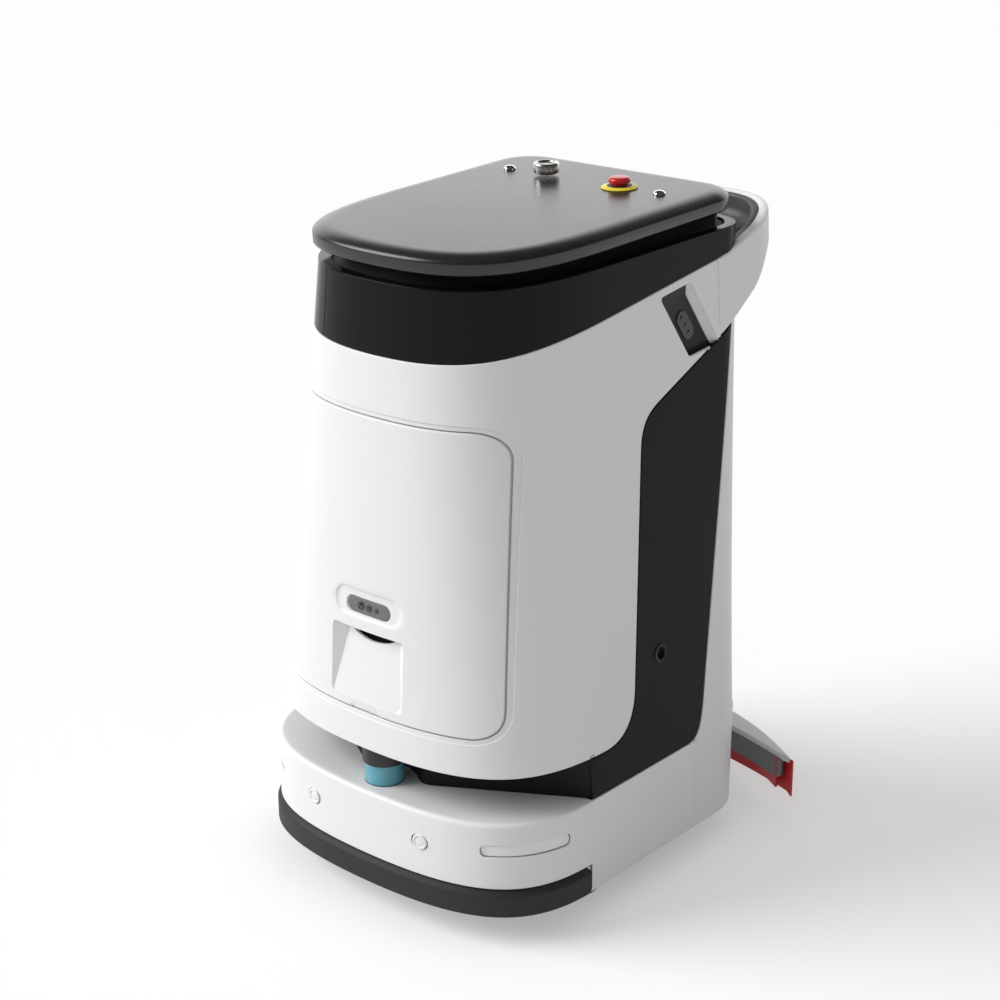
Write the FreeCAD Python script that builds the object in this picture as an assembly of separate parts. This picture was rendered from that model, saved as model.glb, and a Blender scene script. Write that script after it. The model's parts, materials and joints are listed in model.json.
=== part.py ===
import FreeCAD, Part
import math
import os

V = FreeCAD.Vector
os.makedirs("parts", exist_ok=True)

# Frame: millimetres, floor at z = 0, front towards -Y, origin under the middle of the robot.

# Overall and base
LENGTH = 700.0            # bumper face to the rear edge of the squeegee plate
BASE_HALF = 260.0         # half width of the base and of the tower's foot
BASE_FOOT = 40.0          # lower edge of the base covers
DECK_Z = 174.0            # rim of the front deck
SIDE_TOP = 180.0          # top of the side covers, where the tower starts
BUMPER_PROUD = 5.0        # how far the bumper stands out of the base
BUMPER_LOW = 43.0
BUMPER_TOP = 82.0
BUMPER_TRAVEL = 4.0
BUMPER_DEPTH = 9.0
SEAM_FRONT = -166.0       # seam between front cover and side covers
SEAM_REAR = 69.0          # seam between side covers and rear cover
BACK_Y = 233.0            # rear wall of the base and tower
BASE_CORNER = 105.0
BASE_FULLNESS = 0.70      # how square the round front is
DECK_ROUND = 8.0
DECK_DISH = 3.0
DECK_THICK = 10.0
DECK_RIM = 10.0           # width of the raised rim round the dished deck
GUIDE = 10.0
GUIDE_X = 120.0
GUIDE_LENGTH = 26.0
BUMPER_LIP = 8.0
HOOD_LOW = 142.0          # drain hood on the rear wall
HOOD_TOP = 176.0
HOOD_HALF = 200.0
HOOD_PROUD = 22.0
HOOD_ROUND = 10.0

# Tower
TOWER_TOP = 900.0
TOWER_TOP_HALF = 198.0
TOWER_TOP_FLARE = 11.0    # widening from the front shoulder to the rear corner
TOWER_TOP_IN = 42.0       # how far the tower's front lies behind the base's, at the top
TOWER_TOP_SHOULDER = -60.0
TOWER_TOP_CORNER = 55.0
TOWER_FOOT_IN = 2.0       # and at the foot
TOWER_FOOT_SHOULDER = -130.0
TOWER_FULLNESS = 0.735
SHELL_FOOT = 240.0        # lower edge of the white front shell
RIM_FRONT = 788.0         # white rim under the bezel, at the front
RIM_RISE = 0.157          # slope of that rim towards the rear
ARM_SEAM = 153.0          # where the shell's arms meet the handle
PANEL_SUNK = 0.6
SOCKET = 17.0             # charging socket in the side panel
SOCKET_Y = -4.0
SOCKET_Z = 339.0
CORE_FLOOR = 244.0
RIB_TOP = 726.0
RIB_TALL = 12.0
RIB_DEPTH = 24.0
POST = 20.0
POST_X = 180.0
POST_FRONT = -90.0
POST_REAR = 195.0
FRAME_LOW = 90.0

# Walls and gaps
WALL = 4.0
FRAME_WALL = 3.0
SEAM_GAP = 1.2            # visible line between covers
SEAT = 0.3                # clearance between a cover and what carries it
RUN = 0.05                # radial clearance of a pin in its bore
MIN_CORNER = 4.0
ARC_FIT = 0.2             # how closely circular arcs follow the upright walls' outline

# Top
TOP_Z = 893.5             # upper edge of the bezel above the origin
TOP_TILT = 2.0            # degrees, the rear is higher
BEZEL_INSET = 1.0
BEZEL_WALL = 3.0
GLASS_HALF = 98.0
LIP_DROP = 2.5
LIP_THICK = 4.0
LIP_WIDTH = 34.0
NECK_INSET = 26.0
NECK_WALL = 4.0
LID_GAP = 19.5
LID_THICK = 26.0
LID_HALF = 198.0
LID_OVERHANG = 2.0
LID_REAR = 232.0
LID_CORNER = 62.0
LID_SHOULDER = -58.0
LID_FLARE = 2.0
LID_FULLNESS = 0.77
LID_EDGE = 11.0           # upright part of the lid's edge
LID_CROWN = 38.0          # width of the soft rounding
LID_WALL = 6.0
CONTROL_ROW = 122.0       # y of bolts, power button and stop button
BOLT_X = 133.0
BOLT_DIAMETER = 18.0
POWER_X = -65.0
POWER_DIAMETER = 37.0
POWER_HEIGHT = 19.0
POWER_STROKE = 3.0
STOP_X = 65.0
STOP_HEAD = 31.0
STOP_RING = 51.0
STOP_HEIGHT = 20.0
STOP_STROKE = 4.0
HINGE_PIN = 8.0
LID_HINGE_X = 110.0
LID_AXIS_IN = 7.0
LID_AXIS_DROP = 9.0
KNUCKLE = 15.0
KNUCKLE_WIDTH = 10.0
POWER_STEM = 14.0
STOP_STEM = 12.0
BOLT_STEM = 8.0

# Handle
HANDLE_REAR = 342.0
HANDLE_CORNER = 105.0
HANDLE_WALL = 13.0
LINER_WALL = 12.0
LINER_SUNK = 3.0
HANDLE_TOP = 913.0
HANDLE_FOOT = 866.0

# Hatch
HATCH_LOW = 292.0
HATCH_TOP = 706.0
HATCH_LOW_HALF = 202.0
HATCH_TOP_HALF = 181.0
HATCH_CORNER = 42.0
HATCH_GAP = 2.5
HATCH_AXIS_RISE = 100.0
HATCH_AXIS_IN = 41.0      # hinge axis behind the tower's front
HATCH_ARM_X = 64.0
HATCH_ARM_WIDTH = 12.0
HATCH_ARM_RELIEF = 30.0   # how far the rib is cut away ahead of the hinge axis
CAMERA_Z = 446.0
CAMERA_HALF = 39.0
CAMERA_TALL = 26.0
SCOOP_HALF = 62.0
SCOOP_TOP = 402.0
SCOOP_LOW = 312.0
SCOOP_DEPTH = 16.0
POD_DEPTH = 26.0
NOTCH_HALF = 36.0
POD_HALF = 72.0
HATCH_BACK = -120.0
HINGE_END = 22.0          # shaft beyond the gooseneck's middle
ARM_ELBOW_BACK = 108.0
ARM_ELBOW_DROP = 84.0
ARM_FOOT_OUT = 28.0
ARM_FOOT_DROP = 182.0

# Sensors
LIDAR_IN = 48.0           # lidar's axis behind the bumper's face
LIDAR_DIAMETER = 58.0
LIDAR_HEIGHT = 62.0
SONAR_X = 100.0
SONAR_Z = 133.0
SONAR_DIAMETER = 30.0
LIGHT_X = 229.0
LIGHT_Z = 140.0
LIGHT_LENGTH = 126.0
LIGHT_TALL = 17.0
LIGHT_SUNK = 1.2
LIDAR_BAND = 200.0        # top of the lidar's clear band
BAY_ROOM = 13.0
BAY_SIDE = 3.0            # bay's outer ends behind the front seam
BAY_DEEP = 13.0
BAY_FACE = 52.0           # bay's face behind the lidar's axis
BAY_POCKET = 22.0         # depth of the pocket round the lidar
EYE_Y = 34.0              # side camera notch: upper front corner
EYE_TOP = 829.0
EYE_LOW = 738.0
EYE_WIDTH = 58.0
EYE_RISE = 9.0
EYE_LEAN = 0.63
EYE_DEPTH = 16.0
EYE_PILL = 46.0
EYE_PILL_TALL = 17.0

# Squeegee
SQUEEGEE_TOP = 100.0
SQUEEGEE_HALF = 304.0
SQUEEGEE_BOW = 98.0       # how far the ends lie ahead of the middle, rear edge
SQUEEGEE_DEPTH = 46.0     # plate depth in the middle
SQUEEGEE_PLATE = 9.0
SQUEEGEE_BAR = 32.0
BLADE_FOOT = 38.0
BLADE_THICK = 4.0
BLADE_SPACE = 12.0
LIFT_DOWN = 37.0
LIFT_UP = 8.0
BAR_SHORT = 14.0          # how much sooner the bar ends than the plate
BAR_THICK = 8.0
ARM_HALF = 44.0
GUIDE_Y = 212.0
LIFT_BLOCK = 26.0
LIFT_ROD = 12.0
LIFT_X = 28.0
SLOT_TOP = 106.0

# Running gear
WHEEL_DIAMETER = 150.0
WHEEL_WIDTH = 42.0
WHEEL_X = 196.0
WHEEL_Y = 40.0
AXLE = 14.0
CASTER_X = 214.0
CASTER_Y = -128.0
CASTER_DIAMETER = 46.0
CASTER_WIDTH = 18.0
CASTER_TRAIL = 12.0
BRUSH_DIAMETER = 92.0
BRUSH_LENGTH = 330.0
BRUSH_Y = -70.0
BRUSH_LIFT = 3.0
PLATE_Z = 108.0
PLATE_THICK = 4.0
HUB_DIAMETER = 112.0
MOTOR = 64.0
MOTOR_LENGTH = 105.0
MOTOR_GAP = 6.0
WELL_ROOM = 5.0
CASTER_BOSS = 30.0
CASTER_STEM = 12.0
CASTER_AXLE = 8.0
BOSS_LOW = 62.0
CROWN_ROOM = 6.0
BRUSH_CORE = 40.0
BRUSH_SHAFT = 12.0
BRUSH_ROOM = 5.0
BRUSH_ROWS = 12
BRUSH_VALLEY = 7.0
DECK_LOW = 24.0

# Inside
TANK_HALF = 155.0
TANK_IN = 70.0            # tank's face behind the base's front
TANK_SPLIT = -60.0
TANK_ROUND = 24.0
TANK_WALL = 3.0
RECOVERY_TOP = 590.0
CLEAN_REAR = 120.0
CLEAN_TOP = 800.0
FILLER = 60.0
FILLER_TALL = 12.0
BATTERY_HALF = 140.0
BATTERY_TALL = 300.0
FAN = 90.0
FAN_TALL = 70.0
SIDES = ((-1, "left"), (1, "right"))

FRONT_Y = -LENGTH / 2
REAR_Y = LENGTH / 2
BASE_FRONT = FRONT_Y + BUMPER_PROUD
TOWER_TOP_FRONT = BASE_FRONT + TOWER_TOP_IN
TOWER_FOOT_FRONT = BASE_FRONT + TOWER_FOOT_IN
LID_FRONT = TOWER_TOP_FRONT - LID_OVERHANG
LIDAR_Y = FRONT_Y + LIDAR_IN
BAY_END = SEAM_FRONT + BAY_SIDE
BAY_REAR = BAY_END + BAY_DEEP
BAY_FRONT = LIDAR_Y + BAY_FACE
BAY_BACK = BAY_FRONT + BAY_POCKET
HATCH_AXIS_Y = TOWER_TOP_FRONT + HATCH_AXIS_IN
HINGE_HALF = HATCH_ARM_X + HINGE_END
TANK_FRONT = BASE_FRONT + TANK_IN
BAR_HALF = SQUEEGEE_HALF - BAR_SHORT
FRAME_INSET = WALL + SEAT
REACH = LENGTH            # half length of cutting solids
SLOPE = math.tan(math.radians(TOP_TILT))


def edge_line(a, b):
    return Part.makeLine(a, b)


def edge_curve(poles):
    curve = Part.BezierCurve()
    curve.setPoles(poles)
    return curve.toShape()


def edge_arcs(poles):
    """The same curve as a chain of circular arcs."""
    curve = Part.BezierCurve()
    curve.setPoles(poles)
    return [arc.toShape() for arc in curve.toBSpline().toBiArcs(ARC_FIT)]


def box(x0, x1, y0, y1, z0, z1):
    return Part.makeBox(x1 - x0, y1 - y0, z1 - z0, V(x0, y0, z0))


def rod(diameter, start, axis, length):
    return Part.makeCylinder(diameter / 2, length, start, axis)


def mirror_x(shape):
    return shape.mirror(V(0, 0, 0), V(1, 0, 0))


def join(shapes):
    whole = shapes[0].multiFuse(shapes[1:]) if len(shapes) > 1 else shapes[0]
    return whole.removeSplitter()


# Plan outlines: a round front, nearly straight sides and a rear wall with round corners

def base_form(z):
    return dict(half=BASE_HALF, flare=0.0, front=BASE_FRONT, shoulder=SEAM_FRONT, rear=BACK_Y,
                corner=BASE_CORNER, full=BASE_FULLNESS)


def tower_form(z):
    share = (z - SIDE_TOP) / (TOWER_TOP - SIDE_TOP)

    def between(low, high):
        return low + (high - low) * share

    return dict(half=between(BASE_HALF, TOWER_TOP_HALF), flare=between(0.0, TOWER_TOP_FLARE),
                front=between(TOWER_FOOT_FRONT, TOWER_TOP_FRONT),
                shoulder=between(TOWER_FOOT_SHOULDER, TOWER_TOP_SHOULDER), rear=BACK_Y,
                corner=between(BASE_CORNER, TOWER_TOP_CORNER), full=TOWER_FULLNESS)


def handle_form(z):
    form = tower_form(z)
    run = form["rear"] - form["corner"] - form["shoulder"]
    form["rear"] = HANDLE_REAR
    form["corner"] = HANDLE_CORNER
    form["flare"] *= (HANDLE_REAR - HANDLE_CORNER - form["shoulder"]) / run
    return form


def top_form(z):
    return tower_form(TOP_Z)


def lid_form(z):
    return dict(half=LID_HALF, flare=LID_FLARE, front=LID_FRONT, shoulder=LID_SHOULDER, rear=LID_REAR,
                corner=LID_CORNER, full=LID_FULLNESS)


def front_poles(form, inset):
    """Control points of the right half of the round front, from the middle to the shoulder."""
    half = form["half"] - inset
    front = form["front"] + inset
    rear_start = form["rear"] - form["corner"]
    run = V(form["flare"], rear_start - form["shoulder"], 0).normalize()
    shoulder = V(half, form["shoulder"], 0)
    pull = form["full"] * (form["shoulder"] - front)
    return [V(0, front, 0), V(form["full"] * half, front, 0), shoulder - run * pull, shoulder]


def section(form, z, inset, arcs=False):
    """Closed plan outline of a form at height z, moved inward by inset."""
    quarter = 0.5523
    poles = front_poles(form, inset)
    corner = max(form["corner"] - inset, MIN_CORNER)
    rear = form["rear"] - inset
    rear_start = rear - corner
    wide = form["half"] - inset + form["flare"]
    turn = V(wide, rear_start, 0)
    run = (turn - poles[3]).normalize()
    bend = [turn, turn + run * (quarter * corner), V(wide - corner + quarter * corner, rear, 0),
            V(wide - corner, rear, 0)]

    def left(points):
        return [V(-p.x, p.y, 0) for p in reversed(points)]

    curve = edge_arcs if arcs else lambda points: [edge_curve(points)]
    edges = curve(poles) + [edge_line(poles[3], turn)] + curve(bend)
    edges += [edge_line(bend[3], V(-bend[3].x, rear, 0))] + curve(left(bend))
    edges += [edge_line(V(-turn.x, turn.y, 0), V(-poles[3].x, poles[3].y, 0))] + curve(left(poles))
    outline = Part.Wire(edges)
    outline.translate(V(0, 0, z))
    return outline


def loft(form_at, levels):
    """Solid through the outlines of a form at (height, inset) levels."""
    return Part.makeLoft([section(form_at(z), z, inset) for z, inset in levels], True, True)


def body(form_at, z0, z1, inset=0.0):
    if form_at(z0) == form_at(z1):
        return Part.Face(section(form_at(z0), z0, inset, True)).extrude(V(0, 0, z1 - z0))
    return loft(form_at, [(z0, inset), (z1, inset)])


def wall(form_at, z0, z1, inset, thick):
    return body(form_at, z0, z1, inset).cut(body(form_at, z0 - 1, z1 + 1, inset + thick))


def round_levels(z0, z1, inset, radius, steps=3):
    """Levels of a block whose upper edge is rounded."""
    levels = [(z0, inset)]
    for step in range(steps + 1):
        angle = math.radians(90 * step / steps)
        levels.append((z1 - radius + radius * math.sin(angle), inset + radius * (1 - math.cos(angle))))
    return levels


def profile(place, start, steps):
    """Face inside a path of straight steps (a point) and curved ones (two controls and an end)."""
    edges = []
    here = start
    for step in steps:
        if isinstance(step[0], tuple):
            edges += edge_arcs([place(*here)] + [place(*p) for p in step])
            here = step[-1]
        else:
            edges.append(edge_line(place(*here), place(*step)))
            here = step
    if here != start:
        edges.append(edge_line(place(*here), place(*start)))
    return Part.Face(Part.Wire(edges))


def side_solid(start, steps, x0=-REACH, x1=REACH):
    face = profile(lambda y, z: V(x0, y, z), start, steps)
    return face.extrude(V(x1 - x0, 0, 0))


def front_solid(start, steps, y0=-REACH, y1=REACH):
    face = profile(lambda x, z: V(x, y0, z), start, steps)
    return face.extrude(V(0, y1 - y0, 0))


def plan_solid(start, steps, z0, z1):
    face = profile(lambda x, y: V(x, y, z0), start, steps)
    return face.extrude(V(0, 0, z1 - z0))


def round_slot(length, tall, deep):
    """Pill block along X, centred, from y = 0 to y = deep."""
    straight = length / 2 - tall / 2
    solid = box(-straight, straight, 0, deep, -tall / 2, tall / 2)
    ends = [rod(tall, V(side * straight, 0, 0), V(0, 1, 0), deep) for side in (-1, 1)]
    return join([solid] + ends)


def on_front(form, x, z, inset=0.0):
    """Point of a form's round front at a given x, and its outward direction."""
    curve = Part.BezierCurve()
    curve.setPoles(front_poles(form, inset))
    low, high = 0.0, 1.0
    for step in range(40):
        middle = (low + high) / 2
        if curve.value(middle).x < abs(x):
            low = middle
        else:
            high = middle
    point = curve.value(low)
    run = curve.tangent(low)[0]
    side = math.copysign(1.0, x) if x else 1.0
    return V(side * point.x, point.y, z), V(side * run.y, -run.x, 0)


def aim(solid, point, outward):
    """Turn a solid made looking along -Y so that it looks outward, and put it at a point."""
    turned = solid.copy()
    turned.rotate(V(0, 0, 0), V(0, 0, 1), math.degrees(math.atan2(outward.x, -outward.y)))
    turned.translate(point)
    return turned


def lean(shape):
    """Tilt a piece of the top about the X axis at the bezel's upper edge."""
    tilted = shape.copy()
    tilted.rotate(V(0, 0, TOP_Z), V(1, 0, 0), TOP_TILT)
    return tilted


def rim_z(y):
    return RIM_FRONT + RIM_RISE * (y - TOWER_TOP_FRONT)


def top_z(y):
    return TOP_Z + SLOPE * y


nodes = {}

# Side profiles of the tower's covers, seen along X

ARM_LOW = 752.0           # lower edge of the arm at its seam
SHELL_HEEL = -133.0       # where the shell's lower edge starts to turn up
SHELL_KNEE = (-64.0, 305.0)
SHELL_WAIST = (-27.0, 635.0)
ARM_START = (18.0, 693.0)
PANEL_HEEL = 52.0
PANEL_KNEE = (94.0, 250.0)
PANEL_LEAN = 0.174
PANEL_TOP = 800.0
PANEL_COVERED = 20.0

shell_side = side_solid((-REACH, SHELL_FOOT), [
    (SHELL_HEEL, SHELL_FOOT),
    ((SHELL_HEEL + 42, SHELL_FOOT), (SHELL_KNEE[0] - 5, SHELL_KNEE[1] - 40), SHELL_KNEE),
    SHELL_WAIST,
    ((SHELL_WAIST[0] + 4, SHELL_WAIST[1] + 34), (ARM_START[0] - 26, ARM_START[1] - 11), ARM_START),
    (ARM_SEAM - SEAM_GAP / 2, ARM_LOW),
    (ARM_SEAM - SEAM_GAP / 2, rim_z(ARM_SEAM)),
    (-REACH, rim_z(-REACH)),
])

arm_rise = (ARM_LOW - ARM_START[1]) / (ARM_SEAM - ARM_START[0])
bend_y = ARM_SEAM + 80
handle_side = side_solid((ARM_SEAM + SEAM_GAP / 2, ARM_LOW), [
    ((ARM_SEAM + 30, ARM_LOW + 30 * arm_rise), (bend_y - 25, ARM_LOW + 32), (bend_y, ARM_LOW + 50)),
    ((bend_y + 25, ARM_LOW + 68), (HANDLE_REAR - 70, HANDLE_FOOT - 6), (HANDLE_REAR - 30, HANDLE_FOOT)),
    (HANDLE_REAR + 20, HANDLE_FOOT + 2),
    (HANDLE_REAR + 20, HANDLE_TOP),
    (HANDLE_REAR, HANDLE_TOP),
    ((HANDLE_REAR - 72, HANDLE_TOP - 5), (ARM_SEAM + 52, rim_z(ARM_SEAM) + 8),
     (ARM_SEAM + SEAM_GAP / 2, rim_z(ARM_SEAM))),
])

panel_side = side_solid((SEAM_FRONT, SIDE_TOP + SEAM_GAP), [
    (PANEL_HEEL, SIDE_TOP + SEAM_GAP),
    ((PANEL_HEEL + 28, SIDE_TOP + SEAM_GAP), (PANEL_KNEE[0] - 8, PANEL_KNEE[1] - 46), PANEL_KNEE),
    (PANEL_KNEE[0] + PANEL_LEAN * (PANEL_TOP - PANEL_KNEE[1]), PANEL_TOP),
    (ARM_START[0], ARM_START[1] + PANEL_COVERED),
    (SEAM_FRONT, ARM_START[1]),
])


def grown(side, gap):
    """A side profile moved back and down, which leaves a gap along its rear and lower edges."""
    moved = side.copy()
    moved.translate(V(0, gap, -gap))
    return moved


# Base covers

front_half = box(-REACH, REACH, -REACH, SEAM_FRONT - SEAM_GAP / 2, 0, TOWER_TOP)
right_half = box(0, REACH, -REACH, REACH, 0, 2 * TOWER_TOP)
step_z = BUMPER_TOP + SEAM_GAP
recess = BUMPER_DEPTH - BUMPER_PROUD + BUMPER_TRAVEL + 2 * SEAT
dish_z = DECK_Z - DECK_DISH
guide_z = (BUMPER_LOW + BUMPER_TOP) / 2


def round_top(solid, z, radius):
    edges = [e for e in solid.Edges if all(abs(v.Z - z) < 0.001 for v in e.Vertexes)]
    return solid.makeFillet(radius, edges)


def guide_rods(diameter, length):
    """Rods behind the bumper, on which it slides back."""
    rods = []
    for x in (-GUIDE_X, 0.0, GUIDE_X):
        point, outward = on_front(base_form(0), x, guide_z, 1.0)
        rods.append(rod(diameter, point, V(0, 1, 0), length))
    return rods


def sonar_bore(side):
    point, outward = on_front(base_form(0), side * SONAR_X, SONAR_Z)
    return aim(rod(SONAR_DIAMETER + 2 * SEAT, V(0, -WALL, 0), V(0, 1, 0), 4 * WALL), point, outward)


def light_block(side, grow):
    point, outward = on_front(base_form(0), side * LIGHT_X, LIGHT_Z)
    slot = round_slot(LIGHT_LENGTH + 2 * grow, LIGHT_TALL + 2 * grow, LIGHT_LENGTH)
    slot.translate(V(0, -LIGHT_LENGTH / 2, 0))
    return aim(slot, point, outward)


def base_front_cover():
    upper = round_top(body(base_form, step_z, DECK_Z), DECK_Z, DECK_ROUND)
    lower = body(base_form, BASE_FOOT, step_z + WALL, recess)
    dish = body(base_form, dish_z, DECK_Z + 1, DECK_RIM)
    hollow = body(base_form, step_z + WALL, DECK_Z - DECK_THICK, WALL)
    foot = body(base_form, BASE_FOOT - 1, step_z + 2 * WALL, recess + WALL)
    cuts = [dish, hollow, foot] + guide_rods(GUIDE + 2 * RUN, 2 * GUIDE_LENGTH)
    for side in (-1, 1):
        cuts += [sonar_bore(side), light_block(side, SEAT)]
    return join([upper, lower]).cut(cuts).common(front_half)


def bumper():
    outer = loft(base_form, [(BUMPER_LOW, -BUMPER_PROUD), (BUMPER_TOP - BUMPER_LIP, -BUMPER_PROUD),
                             (BUMPER_TOP, 0.0)])
    inner = body(base_form, BUMPER_LOW - 1, BUMPER_TOP + 1, BUMPER_DEPTH - BUMPER_PROUD)
    end = SEAM_FRONT - BUMPER_TRAVEL - 2 * SEAT
    ends = side_solid((-REACH, BUMPER_LOW - 1), [
        (end - BUMPER_LIP, BUMPER_LOW - 1), (end, BUMPER_LOW + BUMPER_LIP),
        (end, BUMPER_TOP - BUMPER_LIP), (end - BUMPER_LIP, BUMPER_TOP + 1), (-REACH, BUMPER_TOP + 1)])
    return join([outer.cut(inner).common(ends)] + guide_rods(GUIDE, GUIDE_LENGTH))


def turned(start, steps):
    """Solid of revolution about Z from a path of (radius, height) points that starts on the axis."""
    face = profile(lambda r, h: V(r, 0, h), start, steps)
    return face.revolve(V(0, 0, 0), V(0, 0, 1), 360)


def sonar(side):
    """Ring-shaped distance sensor: a plug with a raised rim round its face."""
    point, outward = on_front(base_form(0), side * SONAR_X, SONAR_Z)
    outer = SONAR_DIAMETER / 2
    plug = turned((0, -2 * WALL), [(outer, -2 * WALL), (outer, 1), (outer - 2, 2.5), (outer / 2, 2.5),
                                   (outer / 2, 1), (0, 1)])
    plug.rotate(V(0, 0, 0), V(1, 0, 0), 90)
    return aim(plug, point, outward)


def light_strip(side):
    band = wall(base_form, LIGHT_Z - LIGHT_TALL, LIGHT_Z + LIGHT_TALL, LIGHT_SUNK, WALL)
    return band.common(light_block(side, 0))


nodes["base_front_cover"] = base_front_cover()
nodes["bumper"] = bumper()
for side, name in SIDES:
    nodes["sonar_" + name] = sonar(side)
    nodes["light_strip_" + name] = light_strip(side)

side_zone = box(0, REACH, SEAM_FRONT + SEAM_GAP / 2, SEAM_REAR - SEAM_GAP / 2, 0, TOWER_TOP)
side_cover = wall(base_form, BASE_FOOT, SIDE_TOP, 0, WALL).common(side_zone)


def pair(name, right):
    nodes[name + "_right"] = right
    nodes[name + "_left"] = mirror_x(right)


pair("base_side_cover", side_cover)

# Tower covers

tower_skin = wall(tower_form, SIDE_TOP, TOWER_TOP, 0, WALL)


def hatch_outline(inset):
    """Block with the hatch's outline seen from the front: tapered, with round corners."""
    low, top = HATCH_LOW + inset, HATCH_TOP - inset
    wide, narrow = HATCH_LOW_HALF - inset, HATCH_TOP_HALF - inset
    bend = HATCH_CORNER
    slant = (wide - narrow) / (top - low)

    def at(z):
        return wide - slant * (z - low)

    right = [(wide - bend, low), ((wide - bend / 3, low), (wide, low + bend / 3), (at(low + bend), low + bend)),
             (at(top - bend), top - bend),
             ((at(top - bend / 3), top - bend / 3), (narrow - bend / 3, top), (narrow - bend, top))]
    left = [(-narrow + bend, top),
            ((-narrow + bend / 3, top), (-at(top - bend / 3), top - bend / 3), (-at(top - bend), top - bend)),
            (-at(low + bend), low + bend), ((-wide, low + bend / 3), (-wide + bend / 3, low), (-wide + bend, low))]
    return front_solid((0, low), right + left, -REACH, HATCH_BACK)


def eye_block(grow, x0, x1):
    """Slanted notch for the side camera, seen along X."""
    lean_y = EYE_LEAN * (EYE_TOP - EYE_LOW)
    return side_solid((EYE_Y - grow, EYE_TOP + grow), [
        (EYE_Y + EYE_WIDTH + grow, EYE_TOP + EYE_RISE + grow),
        (EYE_Y + EYE_WIDTH + lean_y + grow, EYE_LOW - grow),
        (EYE_Y + lean_y - grow, EYE_LOW - grow)], x0, x1)


eyes = [eye_block(0, 0, REACH), eye_block(0, -REACH, 0)]
nodes["front_shell"] = tower_skin.common(shell_side).cut([hatch_outline(0)] + eyes)


def side_camera():
    """Tray that lines the notch in the arm, with a pill-shaped camera on its floor."""
    block = eye_block(-SEAT, 0, REACH)
    tray = wall(tower_form, EYE_LOW - 40, EYE_TOP + 60, BEZEL_INSET, EYE_DEPTH).common(block)
    tray = tray.cut(wall(tower_form, EYE_LOW - 40, EYE_TOP + 60, 0, EYE_DEPTH - 2).common(eye_block(-3, 0, REACH)))
    middle_z = (EYE_TOP + EYE_LOW) / 2
    middle_y = EYE_Y + EYE_WIDTH / 2 + EYE_LEAN * (EYE_TOP - middle_z)
    pill = round_slot(EYE_PILL, EYE_PILL_TALL, EYE_DEPTH / 2)
    pill.rotate(V(0, 0, 0), V(0, 1, 0), 90 - math.degrees(math.atan(EYE_LEAN)))
    pill.rotate(V(0, 0, 0), V(0, 0, 1), 90)
    pill.translate(V(tower_form(middle_z)["half"] - EYE_DEPTH / 3, middle_y, middle_z))
    return join([tray, pill])


pair("side_camera", side_camera())

socket = rod(SOCKET, V(tower_form(SOCKET_Z)["half"] - 3 * WALL, SOCKET_Y, SOCKET_Z), V(1, 0, 0), 6 * WALL)
panel = wall(tower_form, SIDE_TOP, TOWER_TOP, PANEL_SUNK, WALL - PANEL_SUNK)
panel = panel.common(panel_side).common(right_half)
panel = panel.cut([grown(shell_side, SEAM_GAP), handle_side, grown(handle_side, SEAM_GAP),
                   eye_block(SEAM_GAP, 0, REACH), socket])
pair("side_panel", panel)

handle_low = HANDLE_FOOT - 150
handle_block = body(handle_form, handle_low, TOWER_TOP + 40).common(handle_side)
handle_core = body(handle_form, handle_low - 1, TOWER_TOP + 41, HANDLE_WALL)
tower_core = body(tower_form, handle_low - 1, TOWER_TOP + 41, WALL)
nodes["handle"] = handle_block.cut([handle_core, tower_core])

liner = wall(handle_form, handle_low, TOWER_TOP + 40, HANDLE_WALL, LINER_WALL)
for shift in (-LINER_SUNK, LINER_SUNK):
    trimmed = handle_side.copy()
    trimmed.translate(V(0, 0, shift))
    liner = liner.common(trimmed)
liner = liner.cut(body(tower_form, handle_low - 1, TOWER_TOP + 41, -SEAT))
nodes["handle_liner"] = liner


def under(offset_low, offset_high, slope_z):
    """Slab between two planes parallel to a sloping edge."""
    return side_solid((-REACH, slope_z(-REACH) + offset_low), [
        (REACH, slope_z(REACH) + offset_low), (REACH, slope_z(REACH) + offset_high),
        (-REACH, slope_z(-REACH) + offset_high)])


hood = body(base_form, HOOD_LOW, HOOD_TOP, -HOOD_PROUD).common(
    box(-HOOD_HALF, HOOD_HALF, BACK_Y - BASE_CORNER, REACH, HOOD_LOW, HOOD_TOP))
hood = round_top(hood, HOOD_TOP, HOOD_ROUND)
slot = box(-ARM_HALF - 2 * SEAM_GAP, ARM_HALF + 2 * SEAM_GAP, BACK_Y - BASE_CORNER, REACH, 0, SLOT_TOP)
base_rear = wall(base_form, BASE_FOOT, SIDE_TOP, 0, WALL).fuse(hood.cut(body(base_form, 0, TOWER_TOP, WALL)))
base_rear = base_rear.common(box(-REACH, REACH, SEAM_REAR + SEAM_GAP / 2, REACH, 0, TOWER_TOP)).cut(slot)
handle_zone = body(handle_form, handle_low, TOWER_TOP, -1).cut(
    body(handle_form, handle_low - 1, TOWER_TOP + 1, HANDLE_WALL + SEAT))
pillar_y = PANEL_KNEE[0] + PANEL_LEAN * (PANEL_TOP - PANEL_KNEE[1]) + SEAM_GAP
rear_side = side_solid((PANEL_HEEL + SEAM_GAP, SIDE_TOP + SEAT), [
    ((PANEL_HEEL + 28 + SEAM_GAP, SIDE_TOP + SEAT), (PANEL_KNEE[0] - 8 + SEAM_GAP, PANEL_KNEE[1] - 46),
     (PANEL_KNEE[0] + SEAM_GAP, PANEL_KNEE[1])),
    (pillar_y, PANEL_TOP), (pillar_y, rim_z(pillar_y) - SEAT), (BACK_Y + WALL, rim_z(BACK_Y + WALL) - SEAT),
    (BACK_Y + WALL, SIDE_TOP + SEAT)])
tower_rear = tower_skin.common(rear_side)
tower_rear = tower_rear.cut(handle_zone.common(handle_side.fuse(grown(handle_side, SEAM_GAP))))
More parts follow.
